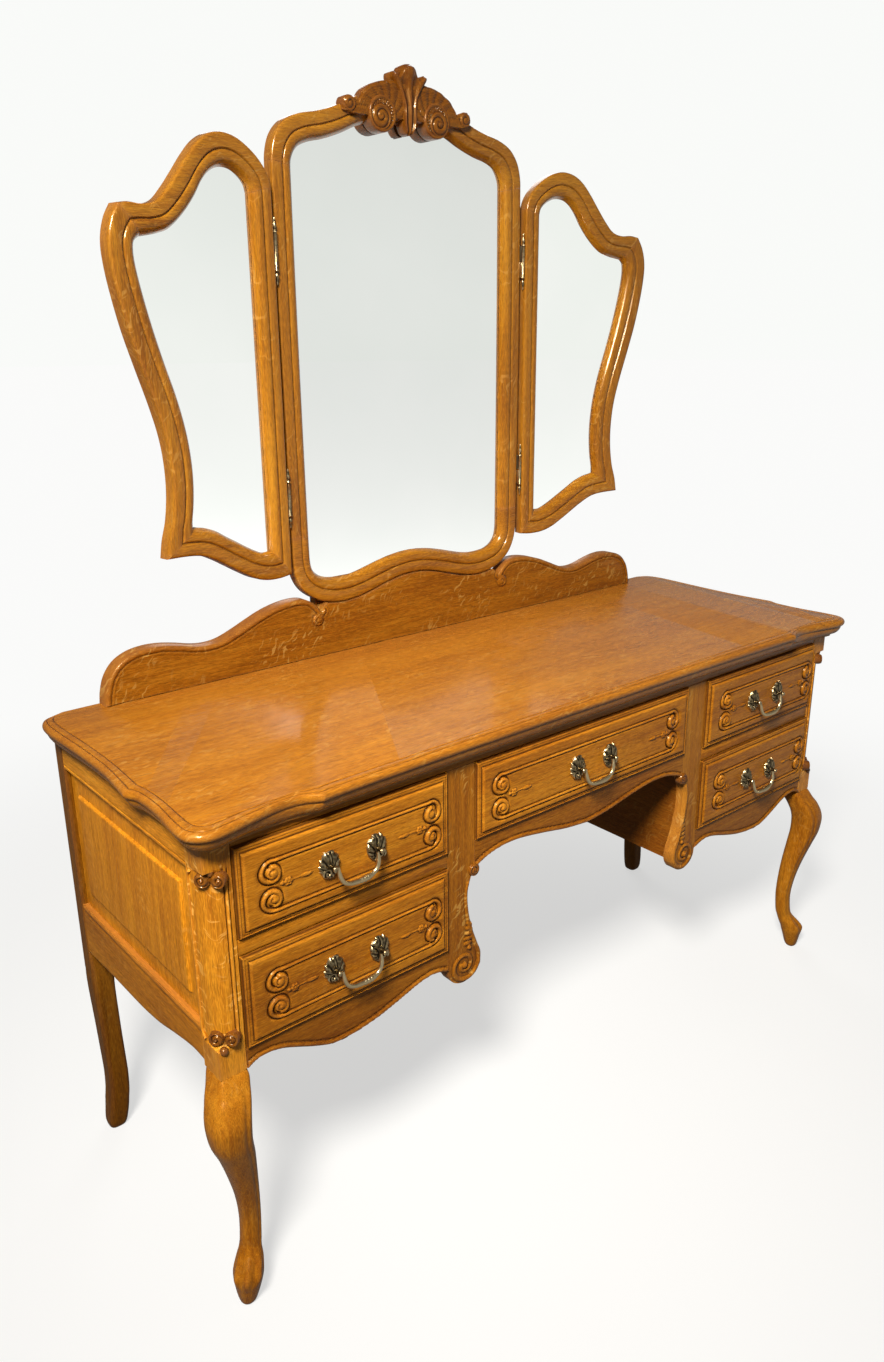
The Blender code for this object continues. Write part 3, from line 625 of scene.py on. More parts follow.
def volute_disc(radius, turns, direction, thick, start=90.0, ridge=None, rings=26, count=60):
    """A small round scroll lying in x and z, its face towards -y."""
    r = np.concatenate([[0.03], np.linspace(0.07, 1.0, rings)])
    a = ring_angles(count)
    grid = np.stack([np.outer(r, np.cos(a)), np.outer(r, np.sin(a))], 2) * radius
    flat = grid.reshape(-1, 2)
    relief, _ = disc_relief(flat, (0, 0), radius * 1.0001, turns, direction, start,
                            ridge or radius * 0.17, radius * 0.22)
    drop = 0.10 * radius * smooth(0.86, 1.0, np.hypot(*flat.T) / radius)
    face = np.stack([flat[:, 0], -relief + drop, flat[:, 1]], 1).reshape(len(r), count, 3)
    back = face[-1].copy()
    back[:, 1] = thick
    return skin(np.concatenate([face, back[None]]))


def make_post(tag, side):
    rings = np.array([[(x, y, z) for x, y in post_section(w, side)] for z, w in POST_LEVELS])
    x, y = abs(rings[..., 0]), rings[..., 1]
    # painted shade in the grooves beside the column, on its front and side faces
    quirk_shade = bell(x, QUIRKS[0], 0.0013) * (y < 0.014) + bell(y, 0.0492, 0.0018) * (x > 0.69)
    quirk_shade = quirk_shade + 0.7 * bell(x, QUIRKS[1], 0.0010) * (y < 0.014)
    quirk_shade = 0.16 * quirk_shade * (np.array([w for _, w in POST_LEVELS]) > 0.5)[:, None]
    piece(f"post_{tag}", *skin(rings), OAK_POST, "carcass", "z", f"corner_post_{tag}", sharp=30,
          painted_shade=quirk_shade.ravel())
    diagonal = Matrix.Rotation(math.radians(45) * side, 4, "Z")
    scrolls = []
    for z, up in ((0.6735, 1), (0.4385, -1)):
        for hand in (-1, 1):
            disc = volute_disc(0.0104, 1.5, hand * up, 0.0110, start=90 * up, ridge=0.0027)
            local = diagonal @ Matrix.Translation((hand * 0.0102, 0, 0))
            scrolls.append(moved(disc, Matrix.Translation((side * 0.6890, 0.0122, z)) @ local))
    scrolls.append(ball((side * 0.6920, 0.0092, 0.4232), (0.0062, 0.0062, 0.0062)))
    leaf = diagonal @ Matrix.Translation((0, 0.002, 0))
    leaf = Matrix.Translation((side * 0.6900, 0.0110, 0.6850)) @ leaf
    scrolls.append(moved(ball((0, 0, 0), (0.0050, 0.0040, 0.0065)), leaf))
    piece(f"post_scrolls_{tag}", *merge(*scrolls), OAK_DARK, "carcass", "z", sharp=50)
    for name, line in POST_BEADS.items():
        path = curve_through(line, 0.004) * (side, 1, 1)
        piece(f"post_bead_{name}_{tag}", *tube(path, 0.0019, 10), OAK_POST, "carcass", "z", sharp=60)


# ---------------------------------------------------------------- legs
FRONT_LEG = [  # height, centre x and y, half width and depth, squareness
    (0.3795, 0.6805, 0.0300, 0.0205, 0.0220, 9.0), (0.3700, 0.6823, 0.0250, 0.0238, 0.0245, 5.5),
    (0.3600, 0.6858, 0.0195, 0.0259, 0.0260, 3.8), (0.3400, 0.6935, 0.0085, 0.0292, 0.0285, 2.8),
    (0.3150, 0.6985, 0.0020, 0.0300, 0.0290, 2.5), (0.2850, 0.6965, 0.0025, 0.0280, 0.0275, 2.4),
    (0.2500, 0.6870, 0.0075, 0.0242, 0.0240, 2.3), (0.2100, 0.6785, 0.0140, 0.0203, 0.0200, 2.3),
    (0.1700, 0.6720, 0.0185, 0.0170, 0.0168, 2.3), (0.1300, 0.6692, 0.0205, 0.0152, 0.0150, 2.3),
    (0.0950, 0.6714, 0.0188, 0.0150, 0.0148, 2.3), (0.0760, 0.6760, 0.0148, 0.0162, 0.0160, 2.2),
    (0.0650, 0.6805, 0.0100, 0.0190, 0.0188, 2.2), (0.0520, 0.6862, 0.0048, 0.0210, 0.0208, 2.2),
    (0.0420, 0.6882, 0.0030, 0.0208, 0.0206, 2.2), (0.0280, 0.6900, 0.0020, 0.0182, 0.0182, 2.2),
    (0.0140, 0.6912, 0.0020, 0.0150, 0.0150, 2.2), (0.0040, 0.6918, 0.0020, 0.0118, 0.0118, 2.2),
    (0.0000, 0.6920, 0.0020, 0.0088, 0.0088, 2.2)]
REAR_LEG = [
    (0.7229, 0.6810, 0.4730, 0.0200, 0.0142, 14), (0.3600, 0.6810, 0.4730, 0.0200, 0.0142, 14),
    (0.3490, 0.6810, 0.4728, 0.0200, 0.0144, 12), (0.3300, 0.6818, 0.4702, 0.0198, 0.0164, 9),
    (0.3100, 0.6828, 0.4675, 0.0193, 0.0182, 7), (0.2700, 0.6850, 0.4640, 0.0180, 0.0190, 6),
    (0.1900, 0.6840, 0.4585, 0.0170, 0.0175, 6), (0.1100, 0.6820, 0.4560, 0.0168, 0.0168, 6),
    (0.0500, 0.6860, 0.4570, 0.0172, 0.0172, 5), (0.0150, 0.6900, 0.4590, 0.0165, 0.0165, 4),
    (0.0030, 0.6908, 0.4598, 0.0145, 0.0145, 3.4), (0.0000, 0.6910, 0.4600, 0.0125, 0.0125, 3)]


def leg_rings(table, side, count, carve=None, step=0.006):
    rows = curve_through([(*row[1:], row[0]) for row in table], step)
    rings = []
    for cx, cy, half_w, half_d, power, z in rows:
        a = math.tau * (np.arange(count) + 0.5) / count
        c, s = np.cos(a), np.sin(a)
        reach = (abs(c) ** power + abs(s) ** power) ** (-1 / power)
        if carve:
            reach = reach * carve(np.degrees(a), z)
        x, y = side * (cx + half_w * reach * c), cy + half_d * reach * s
        rings.append(np.stack([x, y, np.full(count, z)], 1))
    return rings


def leg_carving(angle, z):
    """A bead down the inner front arris, and the toe's fluted scroll; angles from outwards, front at 270."""
    scale = np.ones_like(angle)
    off = (angle - 232) / 7.0
    along = smooth(0.060, 0.090, z) * smooth(0.372, 0.350, z)
    scale += along * (0.035 * np.exp(-off**2) - 0.050 * np.exp(-(off - 1.9) ** 2 * 1.6))
    toe = smooth(0.080, 0.064, z) * smooth(0.032, 0.050, z)
    around = np.cos(np.radians(angle - 305))
    scale += toe * np.clip(around + 0.3, 0, 1) * (0.06 + 0.10 * np.cos(np.radians((angle - 305) * 7)))
    heel = smooth(0.036, 0.028, z) * smooth(0.0, 0.014, z)
    scale -= heel * 0.06 * np.clip(around, 0, 1)
    return scale


def make_legs(tag, side):
    rings = leg_rings(FRONT_LEG, side, 72, leg_carving, 0.004)
    piece(f"cabriole_{tag}", *skin(rings), OAK_KNEE, "carcass", "z", f"front_leg_{tag}", sharp=45)
    rings = leg_rings(REAR_LEG, side, 40)
    piece(f"sabre_leg_{tag}", *skin(rings), OAK_LEG, "carcass", "z", f"rear_leg_{tag}", sharp=40)


# ---------------------------------------------------------------- pedestal sides
PANEL_Z0, PANEL_Z1, RAIL_TOP, GAP = 0.4400, 0.6785, 0.7229, 0.0003
RAIL_MOULD = [(0, -0.0016), (0.002, 0), (0.008, 0), (0.0095, -0.0018), (0.011, -0.0018), (0.0125, -0.0003)]
PANEL_SECTION = [  # how far out, and the distance in from the panel's edge
    (0.6822, 0), (0.6910, 0), (0.6916, 0.012), (0.6928, 0.028), (0.6932, 0.0330), (0.6955, 0.0345),
    (0.6968, 0.0355), (0.6974, 0.0375), (0.6975, 0.0400)]
SIDE_Y0, SIDE_Y1, SIDE_IN, SIDE_OUT = 0.0523, 0.4585, 0.6800, 0.7005
SIDE_LOWER = [(SIDE_Y0, 0.3840), (0.075, 0.3860), (0.105, 0.3830), (0.150, 0.3740), (0.200, 0.3630),
              (0.260, 0.3570), (0.330, 0.3555), (0.400, 0.3530), (SIDE_Y1, 0.3500)]


def make_side(tag, side):
    turn = Matrix.Translation((0, SHIFT_Y, 0)) @ Matrix.Rotation(side * math.pi / 2, 4, "Z")

    def flip(points):
        return np.array([(side * y, z) for y, z in points])

    lower = flip(curve_through(SIDE_LOWER, 0.006))
    outline = np.concatenate([lower, flip([(SIDE_Y1, PANEL_Z0), (SIDE_Y0, PANEL_Z0)])])

    def bottom_rail(p):
        mould = np.interp(PANEL_Z0 - p[:, 1], *zip(*RAIL_MOULD))
        gap, _ = near(p, lower)
        return mould - 0.0016 * (1 - smooth(0, 0.003, gap))

    board = carved(outline, bottom_rail, -SIDE_OUT, -SIDE_IN, 0.0035)
    piece(f"bottom_rail_{tag}", *board, OAK_SIDE_RAIL, "carcass", "x", f"side_bottom_rail_{tag}", at=turn)
    runner = block(*ordered(side, 0.6420, 0.6795), SIDE_Y0, SIDE_Y1 - 0.004, 0.3980, 0.4105)
    piece(f"lower_runner_{tag}", *runner, INNER, "carcass", "y", slot="inner_wood")
    outline = flip([(SIDE_Y0, PANEL_Z1), (SIDE_Y1, PANEL_Z1), (SIDE_Y1, RAIL_TOP), (SIDE_Y0, RAIL_TOP)])

    def top_rail(p):
        return np.interp(p[:, 1] - PANEL_Z1, [0, 0.002, 0.006, 0.0072, 0.0084], [-0.002, 0, 0, -0.0015, 0])

    board = carved(outline, top_rail, -SIDE_OUT, -SIDE_IN, 0.0018 if FINE == 1 else 0.004)
    piece(f"top_rail_{tag}", *board, OAK_SIDE, "carcass", "x", f"side_top_rail_{tag}", at=turn)
    rings = []
    for x, inset in PANEL_SECTION:
        y0, y1 = SIDE_Y0 + inset, SIDE_Y1 - inset
        z0, z1 = PANEL_Z0 + GAP + inset, PANEL_Z1 - GAP - inset
        rings.append([(side * x, y0, z0), (side * x, y1, z0), (side * x, y1, z1), (side * x, y0, z1)])
    piece(f"panel_{tag}", *skin(rings), OAK_SIDE, "carcass", "z", f"side_panel_{tag}", sharp=12)
    runner = block(*ordered(side, 0.6420, 0.6820), SIDE_Y0, SIDE_Y1 - 0.004, *MIDDLE_RAIL)
    piece(f"middle_runner_{tag}", *runner, INNER, "carcass", "y", slot="inner_wood")


# ---------------------------------------------------------------- front frame
FACE_Y, FRAME_BACK = 0.0080, 0.0280
MIDDLE_RAIL = (0.5540, 0.5770)
STILE_IN, STILE_OUT, FRONT_END = 0.2545, 0.3080, 0.6600
STILE_EDGE = [(0.2545, 0.5345), (0.2610, 0.5220), (0.2675, 0.5000), (0.2668, 0.4700), (0.2600, 0.4350),
              (0.2490, 0.4020), (0.2420, 0.3830), (0.2425, 0.3640), (0.2540, 0.3470), (0.2760, 0.3400),
              (0.2960, 0.3470), (0.3055, 0.3600), (0.3075, 0.3730)]
APRON_EDGE = [(0.3080, 0.3735), (0.3224, 0.3790), (0.3429, 0.3820), (0.3685, 0.3780), (0.4096, 0.3655),
              (0.4455, 0.3560), (0.4865, 0.3500), (0.5224, 0.3505), (0.5532, 0.3610), (0.5839, 0.3750),
              (0.6050, 0.3840), (0.6250, 0.3885), (0.6400, 0.3885), (0.6520, 0.3845), (0.6600, 0.3798)]
ARCH_EDGE = [(0.2540, 0.5340), (0.2397, 0.5420), (0.2142, 0.5500), (0.1836, 0.5535), (0.1530, 0.5520),
             (0.1020, 0.5440), (0.0510, 0.5345), (0.0000, 0.5290)]
BIG_SCROLL = (0.2755, 0.3715)
SMALL_SCROLL = (0.2555, 0.5330)


def cock_bead(points, line, half_width=0.0036, height=0.0028):
    """A rounded moulding that ends a board's shaped edge, with a quirk behind it."""
    gap, _ = near(points, line)
    return bead(gap - half_width, half_width, height) - 0.0012 * bell(gap, half_width * 2.25, 0.0011)


def stile_relief(p):
    edge = curve_through(STILE_EDGE[:8], 0.003)
    inset = edge + (0.0037, 0)
    path = np.concatenate([inset[8:], spiral(BIG_SCROLL, 0.0300, 180, 1.55, 1, 0.22)[1:]])
    straight = np.linalg.norm(np.diff(inset[8:], axis=0), axis=1).sum()
    gap, along = near(p, path)
    on_curl = along - straight
    width = np.interp(on_curl, [-straight, 0, 0.09, 0.20], [0.0032, 0.0046, 0.0042, 0.0030])
    rise = np.interp(on_curl, [-straight, -0.02, 0.02, 0.2], [0.0026, 0.0028, 0.0042, 0.0034])
    ridge = bead(gap, width, rise)
    from_scroll = np.hypot(p[:, 0] - BIG_SCROLL[0], p[:, 1] - BIG_SCROLL[1])
    ground = -0.0016 * bell(gap - width, 0.0012, 0.0016)
    ground -= 0.0008 * smooth(0.030, 0.022, from_scroll)
    eye = bead(from_scroll, 0.0058, 0.0052)
    husk = np.zeros(len(p))
    for k in range(5):
        cx, cz = 0.2635 + 0.0012 * k, 0.4420 - 0.0085 * k
        lean = 0.5 - 0.12 * k
        dx, dz = p[:, 0] - cx, p[:, 1] - cz
        u = dx * math.cos(lean) + dz * math.sin(lean)
        v = -dx * math.sin(lean) + dz * math.cos(lean)
        lobe = np.sqrt(np.clip(1 - (u / 0.0085) ** 2 - (v / 0.0042) ** 2, 0, 1)) * (0.0034 - 0.0002 * k)
        husk = np.maximum(husk, lobe)
    husk = np.maximum(husk, bead(np.hypot(p[:, 0] - 0.2655, p[:, 1] - 0.4000), 0.0044, 0.0046))
    return np.maximum.reduce([ground + ridge, eye, np.where(husk > 0, husk, -1)])


def make_front():
    rail = block(-FRONT_END, FRONT_END, FACE_Y, FRAME_BACK, 0.7115, TOP_UNDER - GAP)
    piece("frieze_rail", *rail, OAK, "carcass", "x", "front_top_rail")
    arch = both_halves(curve_through(ARCH_EDGE))
    outline = np.concatenate([arch, [(-0.2540, 0.5815), (0.2540, 0.5815)]])
    board = carved(outline, lambda p: cock_bead(p, arch), FACE_Y, FRAME_BACK, 0.0022)
    piece("arch_apron", *board, OAK_APRON, "carcass", "x", "apron_centre")
    for tag, side in SIDES:
        edge = curve_through(STILE_EDGE, 0.003)
        outline = np.concatenate([edge, [(STILE_EDGE[-1][0], 0.7112), (STILE_IN, 0.7112)]]) * (side, 1)
        board = carved(outline, lambda p: stile_relief(p * (side, 1)), FACE_Y, FRAME_BACK, 0.0018)
        piece(f"stile_{tag}", *board, OAK_STILE, "carcass", "z", f"kneehole_stile_{tag}", sharp=50)
        scroll = volute_disc(0.0108, 1.7, side, 0.0090, start=90)
        at = Matrix.Translation((side * SMALL_SCROLL[0], FACE_Y - 0.0012, SMALL_SCROLL[1]))
        piece(f"small_scroll_{tag}", *moved(scroll, at), OAK_DARK, "carcass", "z", sharp=50)
        low = curve_through(APRON_EDGE) * (side, 1)
        outline = np.concatenate([low, np.array([(FRONT_END, 0.4105), (STILE_OUT, 0.4105)]) * (side, 1)])
        board = carved(outline, lambda p: cock_bead(p, low), FACE_Y, FRAME_BACK, 0.0022)
        piece(f"pedestal_apron_{tag}", *board, OAK_APRON, "carcass", "x", f"apron_{tag}")
        rail = block(*ordered(side, STILE_OUT, FRONT_END), FACE_Y, 0.0500, *MIDDLE_RAIL)
        piece(f"middle_rail_{tag}", *rail, OAK, "carcass", "x", f"drawer_rail_{tag}")


# ---------------------------------------------------------------- drawers
ORNAMENT_DROP = 0.0040
DRAWER_OUT = 0.6592               # where the outer drawers end beside the corner posts
SCROLL_R, SCROLL_Z = 0.0168, 0.0194
EDGE_IN = [0.0, 0.0008, 0.0020, 0.0036, 0.0044, 0.0052, 0.0080, 0.0090, 0.0100, 0.0118, 0.0130]
EDGE_UP = [-0.0066, -0.0048, -0.0036, -0.0030, -0.0042, -0.0036, -0.0032, -0.0040, -0.0026, -0.0006, 0.0]


def drawer_relief(p, w, h, scroll_x, flower_x, shift):
    """The moulded edge, the C scrolls with their border lines, and the sprigs between them."""
    edge = np.interp(np.minimum(w - abs(p[:, 0]), h - abs(p[:, 1])), EDGE_IN, EDGE_UP)
    q = np.stack([-abs(p[:, 0] - shift), abs(p[:, 1] + ORNAMENT_DROP)], 1)
    line_z = SCROLL_Z + SCROLL_R
    curl = spiral((-scroll_x, SCROLL_Z), SCROLL_R, 90, 0.98, 1, 0.50, 80)
    path = np.concatenate([[(0.02, line_z)], curl])
    straight = scroll_x + 0.02
    gap, along = near(q, path)
    on_curl = along - straight
    width = np.interp(on_curl, [-0.03, 0.0, 0.03, 0.06, 0.09], [0.0020, 0.0025, 0.0037, 0.0039, 0.0030])
    rise = np.interp(on_curl, [-0.03, 0.0, 0.03, 0.07], [0.0017, 0.0022, 0.0038, 0.0040])
    ridge = bead(gap, width, rise)
    quirk = -np.interp(on_curl, [-0.02, 0.02], [0.0012, 0.0022]) * bell(gap - width, 0.0009, 0.0014)
    from_curl = np.hypot(q[:, 0] + scroll_x, q[:, 1] - SCROLL_Z)
    hollow = -0.0022 * smooth(SCROLL_R + 0.010, SCROLL_R - 0.004, from_curl)
    hollow = hollow * smooth(-0.004, -0.016, q[:, 0] + scroll_x - 0.012)
    ex, ez = q[:, 0] + scroll_x - 0.0016, q[:, 1] - SCROLL_Z + 0.0004
    eye = bead(np.hypot(ex, ez), 0.0088, 0.0050)
    around = np.cos(np.arctan2(ez - 0.0006, ex + 0.0008) - math.radians(150))
    crescent = bell(np.hypot(ex + 0.0008, ez - 0.0006), 0.0046, 0.0013) * smooth(-0.5, 0.4, around)
    eye = eye - 0.0022 * crescent
    carve = hollow + quirk + ridge
    carve = np.maximum(carve, np.where(eye > 0, eye - 0.0006, -1))
    fx, fz = q[:, 0] + scroll_x - flower_x, q[:, 1]
    sprig = np.full(len(q), -1.0)
    for a in ring_angles(6):
        petal = np.hypot(fx - 0.0040 * math.cos(a), fz - 0.0040 * math.sin(a))
        sprig = np.maximum(sprig, bead(petal, 0.0025, 0.0026))
    sprig = np.maximum(sprig, bead(np.hypot(fx, fz), 0.0022, 0.0034))
    stem = bead(fz, 0.0010, 0.0012) * (fx > 0) * (fx < 0.022)
    tip = fx - 0.0290
    bud = 0.0022 * np.sqrt(np.clip(1 - (tip / 0.0095) ** 2 - (fz / (0.0030 - 0.10 * tip)) ** 2, 0, 1))
    join = bead(np.hypot(fx + 0.0090, fz), 0.0030, 0.0024)
    sprig = np.maximum.reduce([sprig, stem, bud, join])
    return edge + np.where(sprig > 0, np.maximum(carve, sprig), carve)


def board_with_relief(w, h, height, y_back, spacing):
    """A rectangular front as a regular grid, denser at its moulded edge."""
    rim = np.array([0, 0.6, 1.4, 2.4, 3.6, 4.4, 5.2, 6.6, 8.0, 9.0, 10.0, 11.0, 12.0, 13.2]) / 1000

    def line(half):
        middle = np.arange(-half + 0.0142, half - 0.0138, spacing)
        return np.concatenate([-half + rim, middle, half - rim[::-1]])

    xs, zs = line(w), line(h)
    gx, gz = np.meshgrid(xs, zs)
    flat = np.stack([gx.ravel(), gz.ravel()], 1)
    front = np.stack([flat[:, 0], -height(flat), flat[:, 1]], 1)
    nx, nz = len(xs), len(zs)
    k = (np.arange(nz - 1)[:, None] * nx + np.arange(nx - 1)).ravel()
    faces = np.stack([k, k + 1, k + nx + 1, k + nx], 1).tolist()
    rim_at = np.concatenate([np.arange(nx), np.arange(1, nz) * nx + nx - 1,
                             (nz - 1) * nx + np.arange(nx - 2, -1, -1), np.arange(nz - 2, 0, -1) * nx])
    base = len(front)
    back = front[rim_at].copy()
    back[:, 1] = y_back
    count = len(rim_at)
    for i in range(count):
        j = (i + 1) % count
        faces.append((rim_at[j], rim_at[i], base + i, base + j))
    faces.append(tuple(range(base, base + count))[::-1])
    return np.concatenate([front, back]), [tuple(int(v) for v in f) for f in faces]


def make_drawer(tag, scroll_in, flower_x, shift, handle_shift):
    """A drawer box and its carved front; shift and handle_shift move carving and handle off the middle."""
    lo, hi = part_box(f"drawer_{tag}")
    handle_x = (lo.x + hi.x) / 2 + handle_shift
    ornament_x = (lo.x + hi.x) / 2 + shift
    lo.x, hi.x = max(lo.x, -DRAWER_OUT), min(hi.x, DRAWER_OUT)
    cx, cz, w, h = (lo.x + hi.x) / 2, (lo.z + hi.z) / 2, (hi.x - lo.x) / 2, (hi.z - lo.z) / 2
    body = f"drawer_{tag}"
    front = board_with_relief(w, h, lambda p: drawer_relief(p, w, h, w - scroll_in, flower_x, ornament_x - cx),
                              0.0215, 0.0012 / FINE)
    at = Matrix.Translation((cx, SHIFT_Y, cz))
    # painted shade along the front's edge beside the frame, and in the groove of its moulded edge
    rim = np.minimum(w - abs(front[0][:, 0]), h - abs(front[0][:, 2]))
    rim = 0.22 * smooth(0.0026, 0.0008, rim) + 0.05 * bell(rim, 0.0090, 0.0008)
    piece(f"drawer_front_{tag}", *front, OAK, body, "x", f"drawer_{tag}", sharp=60, at=at, painted_shade=rim)
    a, low, high, near_y, deep = w - 0.010, -h + 0.002, h - 0.012, 0.0217, hi.y - SHIFT_Y
    inner = a - 0.0112
    for name, board in (("side_a", (-a, -a + 0.011, near_y, deep, low, high)),
                        ("side_b", (a - 0.011, a, near_y, deep, low, high)),
                        ("back", (-inner, inner, deep - 0.011, deep - 0.0004, low + 0.011, high - 0.006)),
                        ("bottom", (-inner, inner, near_y, deep - 0.0004, low + 0.001, low + 0.009))):
        grain = "x" if name in ("back", "bottom") else "y"
        piece(f"drawer_{name}_{tag}", *block(*board), DRAWER_BOX, body, grain, slot="inner_wood", at=at)
    make_handle(tag, handle_x, cz - ORNAMENT_DROP)


# ---------------------------------------------------------------- handles
def rosette_mesh():
    """A shell-like cast plate: lobes fanning from a C scroll at its lower outer side."""
    a = np.linspace(0, math.tau, 150, endpoint=False)
    base = 0.0150 * 0.0222 / np.sqrt((0.0222 * np.cos(a)) ** 2 + (0.0150 * np.sin(a)) ** 2)
    teeth = (((a - 0.2) * 11 / math.tau) % 1) ** 0.8
    upper = smooth(-0.6, 0.2, np.sin(a + 0.3))
    r = base * (0.86 + 0.16 * teeth * upper + 0.05 * (1 - upper))
    outline = np.stack([r * np.cos(a) * 1.16, r * np.sin(a) + 0.0005], 1)
    scroll = spiral((0.0052, -0.0095), 0.0080, -40, 1.25, 1, 0.25, 50)

    def height(p):
        d = p - (0.0, -0.0080)
        angle = np.arctan2(d[:, 1], d[:, 0])
        reach = np.hypot(*d.T)
        gap, _ = near(p, outline, closed=True)
        flute = abs(np.sin(angle * 5.5 + 0.4)) ** 0.7
        dish = 0.0012 + 0.0030 * smooth(0.0, 0.006, gap) - 0.0016 * smooth(0.010, 0.003, reach)
        leaf = dish + 0.0026 * flute * smooth(0.003, 0.012, reach) * smooth(0.0, 0.0015, gap)
        to_scroll, along = near(p, scroll)
        curl = bead(to_scroll, np.interp(along, [0, 0.05], [0.0021, 0.0014]), 0.0026) + 0.0040
        vein = bead(p[:, 0] + 0.0010 - 0.10 * p[:, 1], 0.0014, 0.0018) * smooth(0.022, 0.010, p[:, 1]) + leaf
        return np.maximum.reduce([leaf, vein, np.where(to_scroll < 0.0020, curl, 0)])

    return carved(outline, height, -GAP, -GAP + 0.00001, 0.0009)


ROSETTE = rosette_mesh()
BAIL_POST = [(0.0050, 0.0030), (0.0042, 0.0060), (0.0034, 0.0080), (0.0034, 0.0150), (0.0040, 0.0165),
             (0.0030, 0.0180), (0.0010, 0.0184)]
BAIL = [(0.0327, 0.0, 0.0), (0.0326, -0.0010, -0.0080), (0.0310, -0.0020, -0.0165), (0.0260, -0.0025, -0.0245),
        (0.0165, -0.0030, -0.0290), (0.0, -0.0032, -0.0305)]
BAIL_KNOTS = ((0.0020, 0.0006), (0.0070, 0.0011), (0.0120, 0.0012), (0.0165, 0.0006))
POST_APART, PIVOT_OUT = 0.0390, 0.0140


def make_handle(tag, cx, cz):
    """Two rosettes with their posts, and the bail that swings between them, knotted on its right half."""
    verts, faces = lathe(BAIL_POST, 18)
    post = (verts[:, (0, 2, 1)] * (1, -1, 1), faces)
    for end, side in (("a", -1), ("b", 1)):
        at = Matrix.Translation((cx + side * POST_APART, SHIFT_Y, cz))
        plate = merge(scaled(ROSETTE, side, 1, 1), post)
        piece(f"rosette_plate_{tag}_{end}", *plate, BRASS, f"drawer_{tag}", "x", f"rosette_{tag}_{end}",
              sharp=70, slot="brass", at=at)
    path = both_halves(curve_through(BAIL, 0.0012))
    x, z = path[:, 0], path[:, 2]
    radius = 0.0019 + 0.0014 * smooth(-0.001, -0.012, z) + 0.0006 * smooth(0.024, 0.006, abs(x))
    for at_x, more in BAIL_KNOTS:
        radius = radius + more * bell(x, at_x, 0.0019) * (z < -0.02)
    at = Matrix.Translation((cx, SHIFT_Y - PIVOT_OUT, cz))
    piece(f"bail_rod_{tag}", *tube(path, radius, 14), BRASS_WORN, f"bail_{tag}", "x", f"bail_{tag}", sharp=70,
          slot="brass", at=at)


# ---------------------------------------------------------------- backboard
CRADLE = [(0.2005, 0.8560), (0.1930, 0.8540), (0.1650, 0.8510), (0.1380, 0.8525), (0.1100, 0.8580),
          (0.0800, 0.8660), (0.0500, 0.8740), (0.0220, 0.8790), (0.0, 0.8800)]
SHOULDER = [(0.6225, 0.7606), (0.6200, 0.7800), (0.6120, 0.8040), (0.5960, 0.8240), (0.5730, 0.8360),
            (0.5460, 0.8405), (0.5180, 0.8395), (0.4880, 0.8340), (0.4600, 0.8270), (0.4380, 0.8245),
            (0.4150, 0.8265), (0.3900, 0.8345), (0.3600, 0.8470), (0.3300, 0.8590), (0.3000, 0.8670),
            (0.2700, 0.8705), (0.2450, 0.8680), (0.2280, 0.8580), (0.2140, 0.8420, True)]
BOARD_MOULD = [(0, -0.0040), (0.0010, -0.0022), (0.0030, -0.0004), (0.0055, 0), (0.0080, -0.0006),
               (0.0092, -0.0022), (0.0102, -0.0024), (0.0116, -0.0008), (0.0135, -0.0008), (0.0150, -0.0020),
               (0.0160, -0.0016)]


def make_backboard():
    shoulder = curve_through(SHOULDER)
    half = np.concatenate([shoulder, curve_through(CRADLE)]) - (0, 0.0004)
    half[0] = (SHOULDER[0][0], TOP_Z + GAP)
    outline = both_halves(half)

    def relief(p):
        q = folded(p)
        gap, _ = near(q, shoulder)
        mould = np.interp(gap, *zip(*BOARD_MOULD))
        scroll, inside = disc_relief(q, (0.2230, 0.8290), 0.0110, 1.4, 1, 60, 0.0022, 0.0014)
        return np.where(inside, scroll - 0.0008, mould)

    board = carved(outline, relief, 0.4600, BACK_Y, 0.0022 / FINE)
    piece("upstand", *board, OAK_BACK, "carcass", "x", "backboard", sharp=45)


# ---------------------------------------------------------------- mirrors
MIRROR_Y, FRAME_T, PIVOT = 0.4650, 0.0222, HINGES["wing_right_hinge"]["pos_m"]
WING_FRONT, WING_REST = -0.0035, math.radians(9.2)
RAIL_JOINTS = (0.975, 1.564)      # where the centre frame's stiles meet its bottom and top rails
BACKING_EDGE = 0.80               # how far in from the frame's outline the board behind the glass ends
WING_CORNERS = ((0.0036, 0.9190), (0.2500, 0.9860), (0.2780, 1.4855), (0.0036, 1.5260))
CENTRE_HALF = [  # the frame's outer x and z, and its inner x and z
    (0, 1.6900, 0, 1.6400), (0.0600, 1.6880, 0.0550, 1.6380), (0.1080, 1.6680, 0.0920, 1.6310),
    (0.1470, 1.6515, 0.1270, 1.6165), (0.1780, 1.6425, 0.1600, 1.6055), (0.2110, 1.6355, 0.1900, 1.5985),
    (0.2390, 1.6230, 0.2090, 1.5900), (0.2580, 1.6000, 0.2200, 1.5760), (0.2658, 1.5660, 0.2245, 1.5580),
    (0.2658, 0.9480, 0.2245, 0.9480), (0.2610, 0.9120, 0.2215, 0.9210), (0.2470, 0.8850, 0.2110, 0.9070),
    (0.2220, 0.8650, 0.1930, 0.8985), (0.1930, 0.8545, 0.1720, 0.8955), (0.1650, 0.8515, 0.1500, 0.8950),
    (0.1380, 0.8530, 0.1280, 0.8980), (0.1100, 0.8585, 0.1030, 0.9040), (0.0800, 0.8665, 0.0760, 0.9110),
    (0.0500, 0.8745, 0.0480, 0.9170), (0.0220, 0.8795, 0.0210, 0.9205), (0, 0.8805, 0, 0.9215)]
